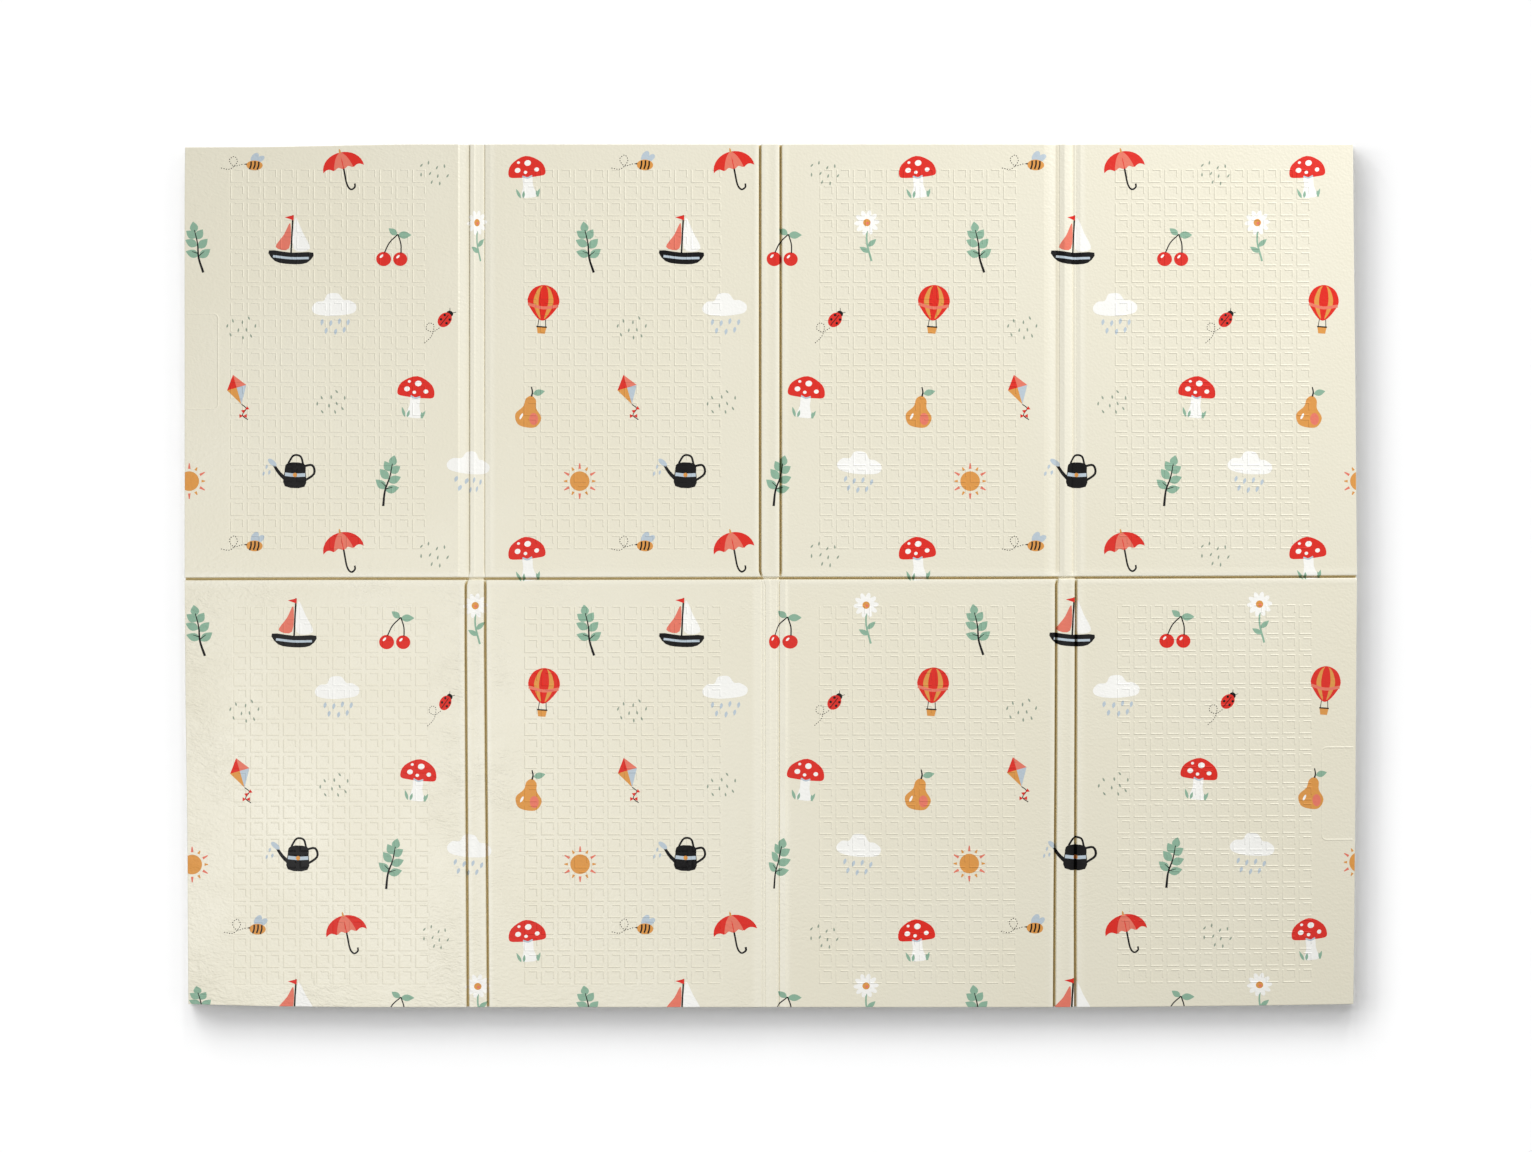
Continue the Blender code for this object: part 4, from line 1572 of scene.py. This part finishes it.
    def build(self, finishes: dict[Ink, bpy.types.Material]) -> list[bpy.types.Object]:
        """Builds the print.

        Args:
            finishes: the material of each ink.

        Returns:
            One piece for each ink, named after it.
        """
        stock = {ink: ([], [], 0) for ink in Ink}
        for patches in self._placed():
            places, triangles, inks = self._cut(patches)
            for ink in set(inks):
                mine = np.array([other is ink for other in inks])
                kept_places, kept_triangles, count = stock[ink]
                kept_places.append(places)
                kept_triangles.append(triangles[mine] + count)
                stock[ink] = (kept_places, kept_triangles, count + len(places))
        return [self._shell("print_" + ink.name.lower(), np.concatenate(places), np.concatenate(triangles),
                            finishes[ink])
                for ink, (places, triangles, _) in stock.items()]


@dataclass(frozen=True)
class Lamp:
    """A square lamp: its name, where it stands, its watts and the length of its side."""

    name: str
    place: tuple[float, float, float]
    power: float
    size: float


@dataclass(frozen=True)
class Studio:
    """Pale floor, soft lights and a camera that looks straight down."""

    view_width: float = 2.574
    lens: float = 50.0
    sensor: float = 36.0
    aim: Point = (-0.0080, -0.0004)
    floor_size: float = 14.0
    floor_colour: tuple[float, float, float] = (0.93, 0.93, 0.93)
    floor_roughness: float = 0.95
    floor_specular: float = 0.1
    glow: float = 0.22
    lamps: tuple[Lamp, ...] = (Lamp("key_light", (3.02, 3.51, 3.00), 253.0, 0.9),
                               Lamp("fill_light", (-1.27, -0.81, 2.56), 31.8, 1.3))
    low_lamps: int = 28
    low_power: float = 2.75
    low_shift: Point = (-2.1, 3.2)
    low_spread: float = 3.2
    low_blur: float = 0.8
    widest_sun: float = 1.0

    def floor(self) -> bpy.types.Object:
        """The plain pale floor."""
        half = self.floor_size / 2
        corners = np.array([(-half, -half, 0), (half, -half, 0), (half, half, 0), (-half, half, 0)], float)
        material, _, shader = new_material("floor_paper")
        shader.inputs["Base Color"].default_value = (*self.floor_colour, 1.0)
        shader.inputs["Roughness"].default_value = self.floor_roughness
        shader.inputs["Specular IOR Level"].default_value = self.floor_specular
        floor = build_object("floor", corners, [[0, 1, 2, 3]], [material])
        return floor

    def light(self, name: str, kind: str, place: tuple[float, float, float], power: float,
              receivers: list[bpy.types.Object]) -> bpy.types.Light:
        """A lamp that looks at the origin.

        Args:
            name: the lamp's name.
            kind: the lamp's type.
            place: where it stands.
            power: watts of a square lamp, or watts a square metre of a sun.
            receivers: what it lights; everything throws shadows in it.

        Returns:
            The lamp's data.
        """
        data = bpy.data.lights.new(name, kind)
        data.energy = power
        lamp = add_object(name, data)
        lamp.location = place
        flat = math.hypot(place[0], place[1])
        lamp.rotation_euler = (math.atan2(flat, place[2]), 0.0, math.atan2(place[0], -place[1]))
        lit = bpy.data.collections.new(name + "_receivers")
        for piece in receivers:
            lit.objects.link(piece)
        lamp.light_linking.receiver_collection = lit
        return data

    def low_suns(self, floor: bpy.types.Object) -> None:
        """Low suns for the floor alone, which give the mat its wide soft shadow.

        A sun at place (x, y, 1) moves the shadow by -x and -y thicknesses of the mat. The places wind out
        on a spiral whose turns thin out as a bell curve does, and each sun is so wide that the blur of its
        shadow fills the gap to the next one's.

        Args:
            floor: the floor.
        """
        count = np.arange(self.low_lamps)
        outside = 1.0 - (count + 0.5) / self.low_lamps
        reach = self.low_spread * np.sqrt(-2.0 * np.log(outside))
        turn = count * math.pi * (3.0 - math.sqrt(5.0))
        across = self.low_shift[0] + reach * np.cos(turn)
        up = self.low_shift[1] + reach * np.sin(turn)
        slant = np.sqrt(1.0 + across ** 2 + up ** 2)
        powers = self.low_power / self.low_lamps * slant
        angles = np.minimum(self.widest_sun, 2.0 * self.low_blur / np.sqrt(outside) / slant ** 2)
        suns = zip(across.tolist(), up.tolist(), powers.tolist(), angles.tolist())
        for number, (x, y, power, angle) in enumerate(suns, 1):
            self.light(f"low_sun_{number:02d}", "SUN", (x, y, 1.0), power, [floor]).angle = angle

    def lights(self, floor: bpy.types.Object, pieces: list[bpy.types.Object]) -> None:
        """Sets up the room's pale glow, two lamps for the mat and the floor's suns.

        Args:
            floor: the floor.
            pieces: the mat's pieces.
        """
        world = bpy.data.worlds.new("studio")
        bpy.context.scene.world = world
        world.use_nodes = True
        glow = world.node_tree.nodes["Background"]
        glow.inputs["Color"].default_value = (1.0, 1.0, 1.0, 1.0)
        glow.inputs["Strength"].default_value = self.glow
        for lamp in self.lamps:
            self.light(lamp.name, "AREA", lamp.place, lamp.power, pieces).size = lamp.size
        self.low_suns(floor)

    def camera(self, top: float) -> bpy.types.Object:
        """The camera over the mat.

        Args:
            top: height of the plane that the picture's width is measured on.

        Returns:
            The camera, set as the scene's.
        """
        data = bpy.data.cameras.new("camera")
        data.lens = self.lens
        data.sensor_width = self.sensor
        camera = add_object("camera", data)
        camera.location = (*self.aim, top + self.view_width * self.lens / self.sensor)
        bpy.context.scene.camera = camera
        return camera


@dataclass(frozen=True)
class InkTones:
    """How the finish of an ink follows from its colour."""

    fading: float = 0.93
    haze: float = 0.012
    # Painted shade of an ink down in the folds: its share of the colour and its warm tint.
    fold_shade_share: float = 0.62
    fold_shade_tint: tuple[float, float, float] = (1.0, 0.80, 0.52)
    roughness: Point = (0.42, 0.50)
    specular: float = 0.15

    def finish(self, ink: Ink) -> PressedFinish:
        """Finish of an ink: a faded second tone, darker and browner in the folds by painted shade, duller
        than the film.
        """
        faded = tuple(min(1.0, self.fading * part + self.haze) for part in ink.value)
        fold_shaded = tuple(self.fold_shade_share * part * tint for part, tint in zip(ink.value, self.fold_shade_tint))
        name = "ink_" + ink.name.lower()
        return PressedFinish(name, ink.value, faded, fold_shaded, ink.value, self.roughness, self.specular)


def main() -> None:
    """Builds the mat, its print and the studio."""
    logging.basicConfig(level=logging.INFO, format="%(message)s")
    relief = Relief()
    # The fold shade colour is painted shade in the troughs; the sheen colour is a painted highlight beside
    # them.
    film = PressedFinish("cream_film", colour=(0.850, 0.812, 0.668), other_tone=(0.835, 0.793, 0.640),
                         fold_shade_colour=(0.64, 0.51, 0.24), sheen_colour=(0.92, 0.89, 0.76),
                         roughness=(0.34, 0.44))
    mat = PlayMat(relief).build(film.material(), FoamFinish().material())
    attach(mat, "root")
    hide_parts("play_mat")
    LOG.info("mat: %d faces", len(mat.data.polygons))
    inked = Print(relief).build({ink: InkTones().finish(ink).material() for ink in Ink})
    for piece in inked:
        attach(piece, "root")
        LOG.info("%s: %d faces", piece.name, len(piece.data.polygons))
    studio = Studio()
    studio.lights(studio.floor(), [mat, *inked])
    studio.camera(relief.sheet.thickness)
    bpy.context.scene.view_settings.view_transform = "Standard"


if __name__ == "__main__":
    main()
